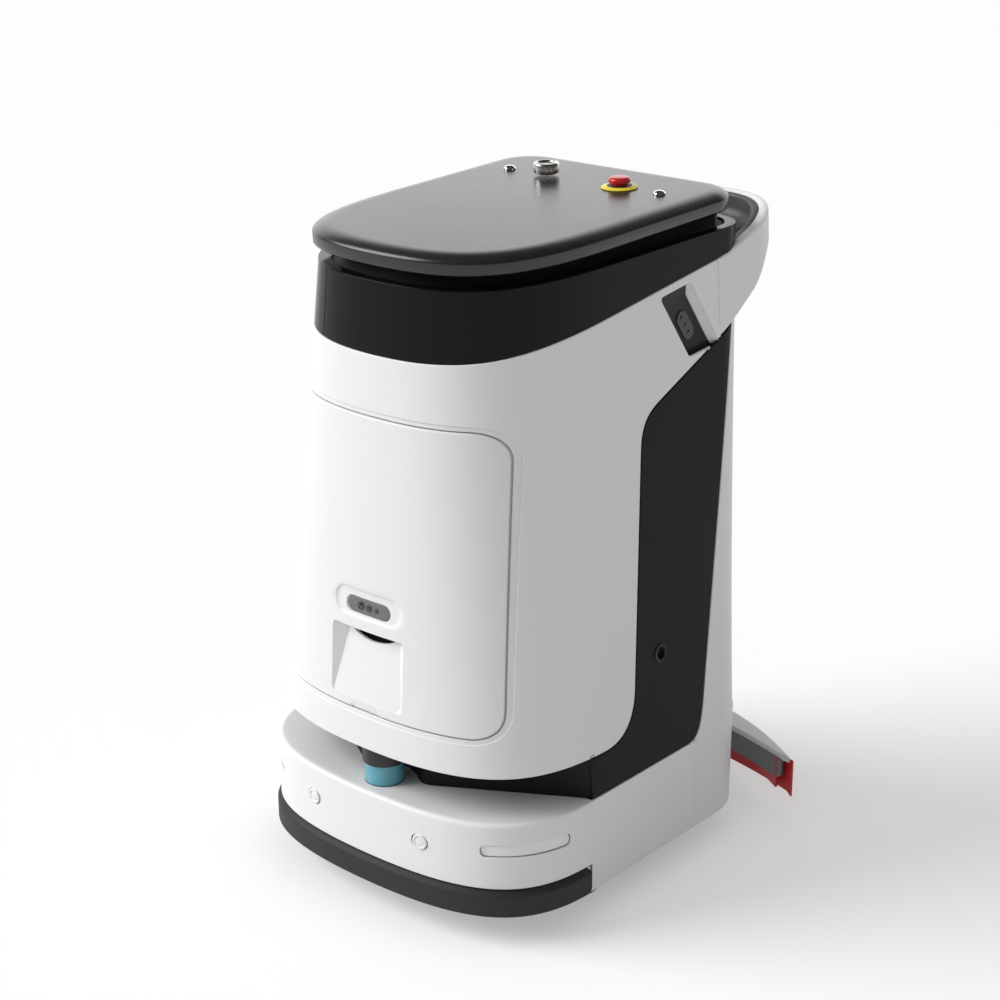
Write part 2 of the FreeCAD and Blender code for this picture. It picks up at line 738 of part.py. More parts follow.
nodes["rear_cover"] = base_rear
nodes["rear_pillar"] = tower_rear

# Top: bezel with its glass, frame with the recessed neck

band = wall(tower_form, RIM_FRONT - 60, TOWER_TOP + 40, BEZEL_INSET, BEZEL_WALL)
band = band.common(under(SEAM_GAP, TOWER_TOP, rim_z)).common(under(-TOWER_TOP, 0, top_z))
glass_zone = box(-GLASS_HALF, GLASS_HALF, -REACH, TOWER_TOP_SHOULDER, 0, 2 * TOWER_TOP)
gap_zone = box(-GLASS_HALF - SEAT, GLASS_HALF + SEAT, -REACH, TOWER_TOP_SHOULDER, 0, 2 * TOWER_TOP)
raised = handle_side.copy()
raised.translate(V(0, 0, SEAM_GAP))
band = band.cut(handle_zone.common(handle_side.fuse(raised)))
nodes["bezel"] = band.cut(gap_zone)
nodes["display_glass"] = band.common(glass_zone)

LID_LOW = TOP_Z + LID_GAP
LID_TOP = LID_LOW + LID_THICK
lid_axis = V(0, LID_REAR - LID_AXIS_IN, LID_LOW - LID_AXIS_DROP)


def knuckle(x, width, diameter):
    return rod(diameter, lid_axis + V(x - width / 2, 0, 0), V(1, 0, 0), width)


def top_frame():
    lip_low = -LIP_DROP - LIP_THICK
    lip = wall(tower_form, RIM_FRONT, TOWER_TOP + 40, FRAME_INSET, LIP_WIDTH - FRAME_INSET)
    lip = lip.common(under(lip_low, -LIP_DROP, top_z))
    neck = wall(tower_form, RIM_FRONT, TOWER_TOP + 40, NECK_INSET, NECK_WALL)
    neck = neck.common(under(lip_low, LID_GAP - 2, top_z))
    brackets = []
    for side in (-1, 1):
        for shift in (-1, 1):
            x = side * LID_HINGE_X + shift * (KNUCKLE_WIDTH + SEAM_GAP)
            post = box(x - KNUCKLE_WIDTH / 2, x + KNUCKLE_WIDTH / 2, lid_axis.y - KNUCKLE / 2,
                       lid_axis.y + 2, TOP_Z - LIP_DROP - LIP_THICK / 2, lid_axis.z)
            brackets += [lean(post), lean(knuckle(x, KNUCKLE_WIDTH, KNUCKLE))]
        brackets.append(lean(knuckle(side * LID_HINGE_X, 3 * KNUCKLE_WIDTH, HINGE_PIN)))
    return join([lip, neck] + brackets)


nodes["top_frame"] = top_frame()


def lid_levels(inset, drop):
    crown = LID_THICK - LID_EDGE
    levels = [(LID_LOW - drop, inset), (LID_LOW + LID_EDGE - drop, inset)]
    for turn in (30, 60, 90):
        angle = math.radians(turn)
        levels.append((LID_LOW + LID_EDGE - drop + crown * math.sin(angle),
                       inset + LID_CROWN * (1 - math.cos(angle))))
    return levels


def lid():
    tray = loft(lid_form, lid_levels(0, 0)).cut(loft(lid_form, lid_levels(LID_WALL, LID_WALL)))
    lugs = []
    for side in (-1, 1):
        x = side * LID_HINGE_X
        web = box(x - KNUCKLE_WIDTH / 2, x + KNUCKLE_WIDTH / 2, lid_axis.y - KNUCKLE / 2, LID_REAR - 1,
                  lid_axis.z, LID_LOW + LID_EDGE)
        lugs += [web, knuckle(x, KNUCKLE_WIDTH, KNUCKLE)]
    bores = [knuckle(side * LID_HINGE_X, 2 * KNUCKLE_WIDTH, HINGE_PIN + 2 * RUN) for side in (-1, 1)]
    for x, stem in ((POWER_X, POWER_STEM), (STOP_X, STOP_STEM)):
        bores.append(rod(stem + 2 * RUN, V(x, CONTROL_ROW, LID_LOW), V(0, 0, 1), LID_THICK + 1))
    for x in (-BOLT_X, BOLT_X):
        bores.append(rod(BOLT_STEM, V(x, CONTROL_ROW, LID_LOW), V(0, 0, 1), LID_THICK + 1))
    return join([tray] + lugs).cut(bores)


def on_lid(solid, x):
    placed = solid.copy()
    placed.translate(V(x, CONTROL_ROW, LID_TOP))
    return lean(placed)


nodes["lid"] = lean(lid())
ring_half = STOP_RING / 2
nodes["stop_ring"] = on_lid(turned((STOP_HEAD / 2, SEAT), [
    (ring_half, SEAT), (ring_half, 2), (ring_half - 2, 3.5), (STOP_HEAD / 2, 3.5)]), STOP_X)
head = STOP_HEAD / 2
nodes["stop_head"] = on_lid(turned((0, -LID_WALL), [
    (STOP_STEM / 2, -LID_WALL), (STOP_STEM / 2, STOP_STROKE + 1), (head - 5, STOP_STROKE + 1),
    (head - 4, STOP_HEIGHT - 9), (head, STOP_HEIGHT - 6), (head, STOP_HEIGHT - 2), (head - 3, STOP_HEIGHT),
    (0, STOP_HEIGHT)]), STOP_X)
knob = POWER_DIAMETER / 2
nodes["power_button"] = on_lid(turned((0, -LID_WALL), [
    (POWER_STEM / 2, -LID_WALL), (POWER_STEM / 2, POWER_STROKE + 1), (knob - 2, POWER_STROKE + 1),
    (knob, POWER_STROKE + 2), (knob, POWER_HEIGHT - 2), (knob - 2, POWER_HEIGHT), (knob - 5, POWER_HEIGHT),
    (knob - 6, POWER_HEIGHT - 2), (0, POWER_HEIGHT - 2)]), POWER_X)
bolt = BOLT_DIAMETER / 2
for side, name in SIDES:
    nodes["lid_bolt_" + name] = on_lid(turned((0, -LID_WALL), [
        (BOLT_STEM / 2 - SEAT, -LID_WALL), (BOLT_STEM / 2 - SEAT, SEAT), (bolt, SEAT), (bolt, 2),
        (bolt - 3, 5), (0, 6)]), side * BOLT_X)

# Hatch with its camera and scoop

camera_y = tower_form(CAMERA_Z)["front"]
scoop_y = tower_form(SCOOP_TOP)["front"]
hatch_axis = V(0, HATCH_AXIS_Y, HATCH_TOP + HATCH_AXIS_RISE)


def hatch_panel():
    skin = tower_skin.common(hatch_outline(HATCH_GAP))
    pod = wall(tower_form, SIDE_TOP, TOWER_TOP, WALL - 1, POD_DEPTH)
    pod = pod.common(box(-POD_HALF, POD_HALF, -REACH, HATCH_BACK, SCOOP_LOW, CAMERA_Z + CAMERA_TALL + 6))
    frame = round_slot(2 * CAMERA_HALF + 34, CAMERA_TALL + 16, REACH)
    frame.translate(V(0, camera_y + 3 - REACH, CAMERA_Z))
    pocket = round_slot(2 * CAMERA_HALF, CAMERA_TALL, REACH)
    pocket.translate(V(0, camera_y + POD_DEPTH - REACH, CAMERA_Z))
    scoop = side_solid((scoop_y - WALL * 2, SCOOP_LOW - 4), [
        (scoop_y + SCOOP_DEPTH, SCOOP_TOP - 6), (scoop_y + SCOOP_DEPTH, SCOOP_TOP),
        (scoop_y - WALL * 2, SCOOP_TOP)], -SCOOP_HALF, SCOOP_HALF)
    vent = box(-CAMERA_HALF, CAMERA_HALF, scoop_y, scoop_y + POD_DEPTH - WALL, SCOOP_TOP - 1, SCOOP_TOP + 5)
    notch = box(-NOTCH_HALF, NOTCH_HALF, -REACH, HATCH_BACK, HATCH_LOW, HATCH_LOW + HATCH_GAP + 5)
    return join([skin, pod]).cut([frame, pocket, scoop, vent, notch])


nodes["hatch_panel"] = hatch_panel()
pill = round_slot(2 * (CAMERA_HALF - SEAT), CAMERA_TALL - 2 * SEAT, POD_DEPTH - 6 - SEAT)
pill.translate(V(0, camera_y + 6, CAMERA_Z))
nodes["front_camera"] = pill


def hatch_arms():
    """Two goosenecks that reach round the upper edge of the opening, tied by a rail on the panel."""
    elbow = (hatch_axis.y + ARM_ELBOW_BACK, hatch_axis.z - ARM_ELBOW_DROP)
    foot = (hatch_axis.y - ARM_FOOT_OUT, hatch_axis.z - ARM_FOOT_DROP)
    t = HATCH_ARM_WIDTH / 2
    pieces = []
    for side in (-1, 1):
        x = side * HATCH_ARM_X
        neck = side_solid((hatch_axis.y, hatch_axis.z + t), [
            (elbow[0] + t, elbow[1] + t), (elbow[0] + t, elbow[1] - t), (foot[0] + t, foot[1] - t),
            (foot[0] - REACH / 8, foot[1] - t), (foot[0] - REACH / 8, foot[1] + t), (foot[0], foot[1] + t),
            (elbow[0] - 2 * t, elbow[1] - t / 2), (hatch_axis.y - t, hatch_axis.z - t)], x - t, x + t)
        boss = rod(2 * HATCH_ARM_WIDTH, V(x - t, hatch_axis.y, hatch_axis.z), V(1, 0, 0), 2 * t)
        pieces += [neck, boss]
    rail = box(-HATCH_ARM_X, HATCH_ARM_X, -REACH, foot[0] + t, foot[1] - t, foot[1] + t)
    bore = rod(HINGE_PIN + 2 * RUN, V(-REACH, hatch_axis.y, hatch_axis.z), V(1, 0, 0), 2 * REACH)
    inside = body(tower_form, SIDE_TOP, TOWER_TOP, WALL + SEAT / 2)
    return join(pieces + [rail]).common(inside).cut(bore)


nodes["hatch_arms"] = hatch_arms()
shaft = rod(HINGE_PIN, V(-HINGE_HALF, hatch_axis.y, hatch_axis.z), V(1, 0, 0), 2 * HINGE_HALF)
cheeks = []
for side in (-1, 1):
    x = side * (HATCH_ARM_X + HATCH_ARM_WIDTH + SEAM_GAP)
    cheeks.append(box(x - WALL, x + WALL, hatch_axis.y - 2 * HATCH_ARM_WIDTH, hatch_axis.y + HATCH_ARM_WIDTH,
                      RIB_TOP + SEAT, hatch_axis.z + HATCH_ARM_WIDTH))
nodes["hatch_hinge"] = join([shaft] + cheeks)

# Frames

core_top = TOP_Z + SLOPE * FRONT_Y - LIP_DROP - LIP_THICK - SEAT
frame_top = DECK_Z - DECK_THICK - SEAT
floor = body(tower_form, CORE_FLOOR, CORE_FLOOR + FRAME_WALL, FRAME_INSET)
rib = wall(tower_form, RIB_TOP - RIB_TALL, RIB_TOP, FRAME_INSET, RIB_DEPTH)
relief_half = HATCH_ARM_WIDTH / 2 + SEAM_GAP
for side in (-1, 1):
    x = side * HATCH_ARM_X
    rib = rib.cut(box(x - relief_half, x + relief_half, hatch_axis.y - HATCH_ARM_RELIEF, hatch_axis.y,
                      RIB_TOP - RIB_TALL, RIB_TOP))
posts = []
for side in (-1, 1):
    for y in (POST_FRONT, POST_REAR):
        posts.append(box(side * POST_X - POST / 2, side * POST_X + POST / 2, y - POST / 2, y + POST / 2,
                         frame_top + SEAT, core_top))
nodes["core_frame"] = join([floor, rib] + posts)

tray = body(base_form, FRAME_LOW, frame_top, FRAME_INSET)
tray = tray.cut(body(base_form, FRAME_LOW - 1, frame_top - FRAME_WALL, FRAME_INSET + FRAME_WALL))
tray_cuts = [slot]
for side in (-1, 1):
    tray_cuts += [sonar_bore(side), light_block(side, WALL)]
nodes["base_frame"] = tray.cut(tray_cuts)

# Lidar in its bay


def bay_block(back):
    pocket = LIDAR_DIAMETER / 2 + BAY_ROOM
    half = BASE_HALF
    return plan_solid((half, BAY_END + back), [
        (pocket + 18, BAY_FRONT + back),
        ((pocket + 6, BAY_FRONT - 4 + back), (pocket, BAY_FRONT + 2 + back), (pocket, BAY_FRONT + 12 + back)),
        ((pocket, BAY_BACK - 4 + back), (pocket / 2, BAY_BACK + back), (0, BAY_BACK + back)),
        ((-pocket / 2, BAY_BACK + back), (-pocket, BAY_BACK - 4 + back), (-pocket, BAY_FRONT + 12 + back)),
        ((-pocket, BAY_FRONT + 2 + back), (-pocket - 6, BAY_FRONT - 4 + back), (-pocket - 18, BAY_FRONT + back)),
        (-half, BAY_END + back), (-half, BAY_REAR), (half, BAY_REAR)], dish_z + SEAT, CORE_FLOOR - SEAT)


bay = bay_block(0).cut(bay_block(FRAME_WALL))
bay = bay.common(body(tower_form, dish_z, CORE_FLOOR, FRAME_INSET))
nodes["lidar_bay"] = bay.cut(body(base_form, dish_z, DECK_Z + SEAT, -1).cut(
    body(base_form, dish_z - 1, DECK_Z + 1, DECK_RIM + SEAT)))

lidar = LIDAR_DIAMETER / 2


def lidar_piece(z0, z1, radius, edge):
    piece = turned((0, z0), [(radius, z0), (radius, z1 - edge), (radius - edge, z1), (0, z1)])
    piece.translate(V(0, LIDAR_Y, 0))
    return piece


nodes["lidar_base"] = lidar_piece(dish_z, dish_z + 4, lidar + 1, 1)
nodes["lidar_window"] = lidar_piece(dish_z + 4, LIDAR_BAND, lidar, 0.5)
nodes["lidar_cap"] = lidar_piece(LIDAR_BAND, dish_z + LIDAR_HEIGHT, lidar, 3)

# Running gear

plate_inset = FRAME_INSET + FRAME_WALL + SEAT
wheel_z = WHEEL_DIAMETER / 2
caster_z = CASTER_DIAMETER / 2
motor_end = WHEEL_X - WHEEL_WIDTH / 2 - MOTOR_GAP


def x_turned(start, steps, place):
    """Solid of revolution about the X direction."""
    solid = turned(start, steps)
    solid.rotate(V(0, 0, 0), V(0, 1, 0), 90)
    solid.translate(place)
    return solid


def tyre():
    outer, inner, half = wheel_z, HUB_DIAMETER / 2, WHEEL_WIDTH / 2
    return x_turned((inner, -half), [
        (outer - 5, -half), (outer, -half + 7), (outer, half - 7), (outer - 5, half), (inner, half)],
        V(WHEEL_X, WHEEL_Y, wheel_z))


def hub():
    outer, bore, half = HUB_DIAMETER / 2 - RUN, AXLE / 2 + RUN, WHEEL_WIDTH / 2
    return x_turned((bore, -half + 2), [
        (outer, -half + 2), (outer, half - 2), (outer - 8, half - 2), (outer - 12, half - 12),
        (bore + 14, half - 12), (bore + 12, half), (bore, half)], V(WHEEL_X, WHEEL_Y, wheel_z))


def drive_motor():
    start = V(motor_end - MOTOR_LENGTH, WHEEL_Y, wheel_z)
    can = rod(MOTOR, start, V(1, 0, 0), MOTOR_LENGTH)
    shaft = rod(AXLE, V(motor_end, WHEEL_Y, wheel_z), V(1, 0, 0), WHEEL_X + WHEEL_WIDTH / 2 - motor_end)
    saddle = box(motor_end - MOTOR_LENGTH + 10, motor_end - 10, WHEEL_Y - MOTOR / 3, WHEEL_Y + MOTOR / 3,
                 wheel_z, PLATE_Z - SEAT)
    return join([can, shaft, saddle])


pair("tyre", tyre())
pair("hub", hub())
pair("drive_motor", drive_motor())


def chassis_plate():
    plate = body(base_form, PLATE_Z, PLATE_Z + PLATE_THICK, plate_inset)
    bosses, cuts = [], []
    for side in (-1, 1):
        x = side * CASTER_X
        bosses.append(rod(CASTER_BOSS, V(x, CASTER_Y, BOSS_LOW), V(0, 0, 1), PLATE_Z - BOSS_LOW + 1))
        cuts.append(rod(CASTER_STEM + 2 * RUN, V(x, CASTER_Y, 0), V(0, 0, 1), TOWER_TOP))
        wide = WHEEL_WIDTH / 2 + WELL_ROOM
        long = wheel_z + WELL_ROOM
        cuts.append(box(side * WHEEL_X - wide, side * WHEEL_X + wide, WHEEL_Y - long, WHEEL_Y + long, 0, TOWER_TOP))
    return join([plate] + bosses).cut(cuts)


nodes["chassis_plate"] = chassis_plate()


def caster_fork(side):
    pivot = V(side * CASTER_X, CASTER_Y, 0)
    axle = (CASTER_TRAIL, caster_z)
    cheek = WALL
    half = CASTER_WIDTH / 2 + SEAM_GAP
    crown_z = CASTER_DIAMETER + CROWN_ROOM
    pieces = [rod(CASTER_STEM, V(0, 0, crown_z), V(0, 0, 1), PLATE_Z + PLATE_THICK - crown_z),
              rod(2 * half + 2 * cheek, V(0, 0, crown_z), V(0, 0, 1), WALL),
              rod(CASTER_AXLE, V(-half - cheek, axle[0], axle[1]), V(1, 0, 0), 2 * (half + cheek))]
    for start in (-half - cheek, half):
        pieces.append(side_solid((-CASTER_WIDTH / 2, crown_z + WALL), [
            (-CASTER_WIDTH / 2, crown_z), (axle[0] - CASTER_AXLE, axle[1] - CASTER_AXLE),
            (axle[0] + CASTER_AXLE, axle[1] - CASTER_AXLE), (axle[0] + CASTER_AXLE, crown_z + WALL)],
            start, start + cheek))
    pieces.append(box(-half - cheek, half + cheek, -CASTER_WIDTH / 2, axle[0] + CASTER_AXLE, crown_z, crown_z + WALL))
    fork = join(pieces)
    fork.translate(pivot)
    return fork


def caster_wheel(side):
    outer, half = caster_z, CASTER_WIDTH / 2
    bore = CASTER_AXLE / 2 + RUN
    return x_turned((bore, -half), [
        (outer - 3, -half), (outer, -half + 4), (outer, half - 4), (outer - 3, half), (bore, half)],
        V(side * CASTER_X, CASTER_Y + CASTER_TRAIL, caster_z))


for side, name in SIDES:
    nodes["caster_fork_" + name] = caster_fork(side)
    nodes["caster_wheel_" + name] = caster_wheel(side)

# Roller brush under its hood

brush_z = BRUSH_LIFT + BRUSH_DIAMETER / 2
brush_half = BRUSH_LENGTH / 2
cheek_in = brush_half + 2 * SEAM_GAP
cheek_out = cheek_in + WALL
core_half = BRUSH_CORE / 2


def brush_deck():
    room = BRUSH_DIAMETER / 2 + BRUSH_ROOM
    outer = room + WALL
    hood_side = side_solid((BRUSH_Y - outer, DECK_LOW), [
        (BRUSH_Y + outer, DECK_LOW), (BRUSH_Y + outer, brush_z), (BRUSH_Y + outer / 2, PLATE_Z - SEAT),
        (BRUSH_Y - outer / 2, PLATE_Z - SEAT), (BRUSH_Y - outer, brush_z)], -cheek_out, cheek_out)
    hollow = rod(2 * room, V(-cheek_in, BRUSH_Y, brush_z), V(1, 0, 0), 2 * cheek_in)
    mouth = box(-cheek_in, cheek_in, BRUSH_Y - room, BRUSH_Y + room, 0, brush_z)
    bore = rod(BRUSH_SHAFT + 2 * RUN, V(-REACH, BRUSH_Y, brush_z), V(1, 0, 0), 2 * REACH)
    return hood_side.cut([hollow, mouth, bore])


nodes["brush_deck"] = brush_deck()
nodes["brush_core"] = join([
    rod(BRUSH_CORE, V(-brush_half, BRUSH_Y, brush_z), V(1, 0, 0), BRUSH_LENGTH),
    rod(BRUSH_SHAFT, V(-cheek_out, BRUSH_Y, brush_z), V(1, 0, 0), 2 * cheek_out)])


def brush_bristles():
    """Rows of bristles: a star-shaped ring along the roller."""
    points = []
    for step in range(2 * BRUSH_ROWS):
        angle = math.pi * step / BRUSH_ROWS
        radius = BRUSH_DIAMETER / 2 if step % 2 else BRUSH_DIAMETER / 2 - BRUSH_VALLEY
        points.append(V(-brush_half, BRUSH_Y + radius * math.sin(angle), brush_z + radius * math.cos(angle)))
    star = Part.Face(Part.makePolygon(points + points[:1])).extrude(V(BRUSH_LENGTH, 0, 0))
    return star.cut(rod(BRUSH_CORE + 2 * RUN, V(-REACH, BRUSH_Y, brush_z), V(1, 0, 0), 2 * REACH))


nodes["brush_bristles"] = brush_bristles()

# Squeegee on its lift


def bow(front, rear, z0, z1):
    """Strip between two arcs in plan; each arc is its middle y, its end y and its half width."""
    def arc(middle, end, half, way):
        return Part.Arc(V(-way * half, end, z0), V(0, middle, z0), V(way * half, end, z0)).toShape()

    edges = [arc(*front, 1), edge_line(V(front[2], front[1], z0), V(rear[2], rear[1], z0)), arc(*rear, -1),
             edge_line(V(-rear[2], rear[1], z0), V(-front[2], front[1], z0))]
    return Part.Face(Part.Wire(edges)).extrude(V(0, 0, z1 - z0))


tip_y = REAR_Y - SQUEEGEE_BOW
plate_front = REAR_Y - SQUEEGEE_DEPTH
plate_low = SQUEEGEE_TOP - SQUEEGEE_PLATE
bar_low = plate_low - SQUEEGEE_BAR
arm_low = bar_low + 2
arm_top = plate_low - 4
nodes["squeegee_plate"] = bow((plate_front, tip_y, SQUEEGEE_HALF - 12), (REAR_Y, tip_y, SQUEEGEE_HALF),
                              plate_low, SQUEEGEE_TOP)


def squeegee_bar():
    strip = bow((plate_front, tip_y, BAR_HALF), (plate_front + BAR_THICK, tip_y + BAR_THICK, BAR_HALF),
                bar_low, plate_low)
    arm = box(-ARM_HALF, ARM_HALF, GUIDE_Y - LIFT_BLOCK / 2, plate_front + 2, arm_low, arm_top)
    bores = [rod(LIFT_ROD + 2 * RUN, V(side * LIFT_X, GUIDE_Y, 0), V(0, 0, 1), TOWER_TOP) for side in (-1, 1)]
    return join([strip, arm]).cut(bores)


nodes["squeegee_bar"] = squeegee_bar()
blade_y = plate_front + BAR_THICK
blade_end = tip_y + BAR_THICK
nodes["blade_front"] = bow((blade_y, blade_end, SQUEEGEE_HALF), (blade_y + BLADE_THICK, blade_end + BLADE_THICK, SQUEEGEE_HALF),
                           BLADE_FOOT, plate_low)
rear_blade_y = REAR_Y - BLADE_SPACE / 2
rear_end = blade_end + BLADE_THICK + 2
nodes["blade_rear"] = bow((rear_blade_y - BLADE_THICK, rear_end, SQUEEGEE_HALF + 2),
                          (rear_blade_y, rear_end + BLADE_THICK, SQUEEGEE_HALF + 2), BLADE_FOOT, plate_low)


def lift_guide():
    half = LIFT_X + LIFT_ROD
    tie_low = arm_low - LIFT_DOWN - 3 * WALL
    pieces = [box(-half, half, GUIDE_Y - LIFT_ROD, GUIDE_Y + LIFT_ROD, arm_top + LIFT_UP + 1, PLATE_Z - SEAT),
              box(-half, half, GUIDE_Y - LIFT_ROD, GUIDE_Y + LIFT_ROD, tie_low, tie_low + WALL)]
    for side in (-1, 1):
        pieces.append(rod(LIFT_ROD, V(side * LIFT_X, GUIDE_Y, tie_low), V(0, 0, 1), PLATE_Z - SEAT - tie_low))
    return join(pieces)


nodes["lift_guide"] = lift_guide()

# Inside the tower: battery, tanks, fan and controller

stand = CORE_FLOOR + FRAME_WALL


def block(x0, x1, y0, y1, z0, z1, radius):
    solid = box(x0, x1, y0, y1, z0, z1)
    return solid.makeFillet(radius, [e for e in solid.Edges if abs(e.tangentAt(e.FirstParameter).z) > 0.9])


def tank(y0, y1, z1, neck_y):
    """Blow-moulded tank with a filler neck on top."""
    outer = block(-TANK_HALF, TANK_HALF, y0, y1, stand, z1, TANK_ROUND)
    inner = block(-TANK_HALF + TANK_WALL, TANK_HALF - TANK_WALL, y0 + TANK_WALL, y1 - TANK_WALL,
                  stand + TANK_WALL, z1 - TANK_WALL, TANK_ROUND - TANK_WALL)
    neck = rod(FILLER, V(0, neck_y, z1 - TANK_WALL), V(0, 0, 1), 2 * FILLER_TALL)
    bore = rod(FILLER - 2 * TANK_WALL, V(0, neck_y, z1 - 2 * TANK_WALL), V(0, 0, 1), 4 * FILLER_TALL)
    return join([outer.cut(inner), neck]).cut(bore)


nodes["recovery_tank"] = tank(TANK_FRONT, TANK_SPLIT - 2, RECOVERY_TOP, (TANK_FRONT + TANK_SPLIT) / 2)
nodes["clean_tank"] = tank(TANK_SPLIT + 2, CLEAN_REAR, CLEAN_TOP, CLEAN_REAR - FILLER)
nodes["battery"] = block(-BATTERY_HALF, BATTERY_HALF, CLEAN_REAR + 4, BACK_Y - 4 * WALL, stand, stand + BATTERY_TALL, 6)
nodes["suction_fan"] = turned((0, 0), [(FAN / 2, 0), (FAN / 2, FAN_TALL * 0.6), (FAN / 3, FAN_TALL), (0, FAN_TALL)])
nodes["suction_fan"].translate(V(FAN, CLEAN_REAR + 4 + FAN / 2, stand + BATTERY_TALL))
nodes["controller"] = block(-BATTERY_HALF, -SEAM_GAP, CLEAN_REAR + 4, BACK_Y - 4 * WALL,
                            stand + BATTERY_TALL, stand + BATTERY_TALL + 50, 4)

for name, shape in nodes.items():
    shape.exportStep("parts/" + name + ".step")
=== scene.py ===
import json
import math

import bpy
import numpy as np
import bmesh
from mathutils import Matrix, Vector, geometry, kdtree


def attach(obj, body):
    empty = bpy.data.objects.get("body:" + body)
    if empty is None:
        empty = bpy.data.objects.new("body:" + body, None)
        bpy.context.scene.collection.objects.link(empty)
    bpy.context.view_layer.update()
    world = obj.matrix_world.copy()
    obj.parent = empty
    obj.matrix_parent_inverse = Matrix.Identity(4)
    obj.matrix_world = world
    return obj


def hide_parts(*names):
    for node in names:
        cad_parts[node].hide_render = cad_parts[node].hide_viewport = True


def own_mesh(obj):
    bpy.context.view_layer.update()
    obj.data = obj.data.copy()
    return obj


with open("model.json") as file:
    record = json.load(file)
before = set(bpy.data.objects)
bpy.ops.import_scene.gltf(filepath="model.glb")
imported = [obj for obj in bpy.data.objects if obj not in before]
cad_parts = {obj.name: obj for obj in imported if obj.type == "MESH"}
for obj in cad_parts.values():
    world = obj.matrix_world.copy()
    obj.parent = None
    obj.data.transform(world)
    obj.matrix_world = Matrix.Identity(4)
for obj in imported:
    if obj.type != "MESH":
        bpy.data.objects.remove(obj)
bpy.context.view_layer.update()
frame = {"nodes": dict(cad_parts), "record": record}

bl_info = {
    "name": "Floor-scrubbing robot",
    "version": (1, 0, 0),
    "blender": (4, 5, 0),
    "location": "3D View > Sidebar > Robot",
    "description": "Covers, finishes and small parts of a tower-shaped cleaning robot",
    "category": "Add Mesh",
}

MM = 0.001

# Sizes in millimetres
WALL, SEAM, FINE_SEAM, FINE_EDGE, MIN_CORNER = 4.0, 1.2, 0.16, 0.15, 4.0
SIDES = ((-1, "left"), (1, "right"))
MESH_STEP, EDGE_STEPS = 7.0, 4

# Base and bumper
BASE_HALF, BASE_FRONT, BASE_FOOT = 260.0, -345.0, 40.0
BASE_CORNER, BASE_FULL, CORNER_EASE = 105.0, 0.735, 1.5
SIDE_TOP, STEP_Z = 180.0, 83.2
SEAM_FRONT, SEAM_REAR, BACK_Y = -166.0, 69.0, 233.0
DECK_Z, DECK_ROUND, DECK_ROUND_END, DECK_FADE, DECK_REACH = 180.0, 7.0, 2.0, 200.0, 118.0
BUMPER_LOW, BUMPER_TOP, BUMPER_PROUD, BUMPER_BACK = 43.0, 82.0, 5.0, 4.0
BUMPER_LIP, BUMPER_LEAN, BUMPER_CORNER, BUMPER_EDGE = 7.0, 1.5, 9.0, 2.4
BUMPER_ROOM, SKIRT_ROOM = 4.6, 12.8
SONAR_X, SONAR_Z, SONAR_DIAMETER = 100.0, 133.0, 23.0
LIGHT_X, LIGHT_Z, LIGHT_LENGTH, LIGHT_TALL, LIGHT_SUNK = 234.0, 140.0, 160.0, 17.0, 2.6

# Lidar and its bay
LIDAR_Y, LIDAR_CAP, LIDAR_WINDOW, LIDAR_HEIGHT, LIDAR_BAND = -300.0, 60.0, 55.0, 60.0, 30.0
BAY_MOUTH, BAY_NOSE, BAY_BACK, BAY_END, BAY_TOP, BAY_WALL = 56.0, -280.0, -258.0, -163.0, 243.0, 4.0

# Tower: shell, side panels and rear wall
TOWER_TOP, TOWER_TOP_HALF, TOWER_TOP_FLARE = 900.0, 198.0, 11.0
TOWER_TOP_FRONT, TOWER_TOP_SHOULDER, TOWER_TOP_CORNER = -303.0, -60.0, 55.0
TOWER_FOOT_FRONT, TOWER_FOOT_SHOULDER, TOWER_FULL = -343.0, -130.0, 0.735
SHELL_FOOT, RIM_FRONT, RIM_RISE = 240.0, 788.0, 0.157
SHELL_HEEL, SHELL_KNEE, SHELL_WAIST = -133.0, (-64.0, 305.0), (-27.0, 635.0)
ARM_START, ARM_SEAM, ARM_LOW = (18.0, 693.0), 153.0, 752.0
ARM_RISE = (ARM_LOW - ARM_START[1]) / (ARM_SEAM - ARM_START[0])
PANEL_HEEL, PANEL_KNEE, PANEL_LEAN, PANEL_SUNK = 52.0, (94.0, 250.0), 0.174, 0.6
SOCKET, SOCKET_Y, SOCKET_Z = 17.0, -4.0, 339.0
LIFT_SLOT, LIFT_SLOT_TOP = 46.4, 106.0
HOOD_LOW, HOOD_TOP, HOOD_PROUD = 148.0, 182.0, 15.0

# Hatch: its seat, camera, scoop, slit and finger tab
HATCH_LOW, HATCH_TOP, HATCH_LOW_HALF, HATCH_TOP_HALF = 292.0, 706.0, 202.0, 181.0
HATCH_CORNER, HATCH_GAP, HATCH_SEAT = 42.0, 1.8, 5.6
HATCH_RING, HATCH_RIM, RING_SUNK = 5.5, 2.0, 1.3
CAMERA_Z, CAMERA_HALF, CAMERA_TALL = 441.0, 39.0, 22.0
FRAME_Z, FRAME_HALF, FRAME_TALL, FRAME_BEVEL, FRAME_DEPTH = 445.0, 61.0, 21.0, 4.0, 2.4
WELL_GROW, WELL_BEVEL, WELL_DEPTH = 1.6, 1.6, 2.4
SCOOP_HALF, SCOOP_TOP, SCOOP_LOW, SCOOP_DEPTH = 65.0, 409.0, 307.0, 17.0
SCOOP_STEEP, SCOOP_LIP, SCOOP_SIDE, SCOOP_CORNER = 3.0, 1.4, 0.8, 7.0
SLIT_HALF, SLIT_TOP, SLIT_END, SLIT_LOW, SLIT_BACK = 42.0, 407.0, 402.0, 390.0, 25.0
TAB_HALF, TAB_TALL, TAB_DEPTH = 26.0, 11.0, 2.0

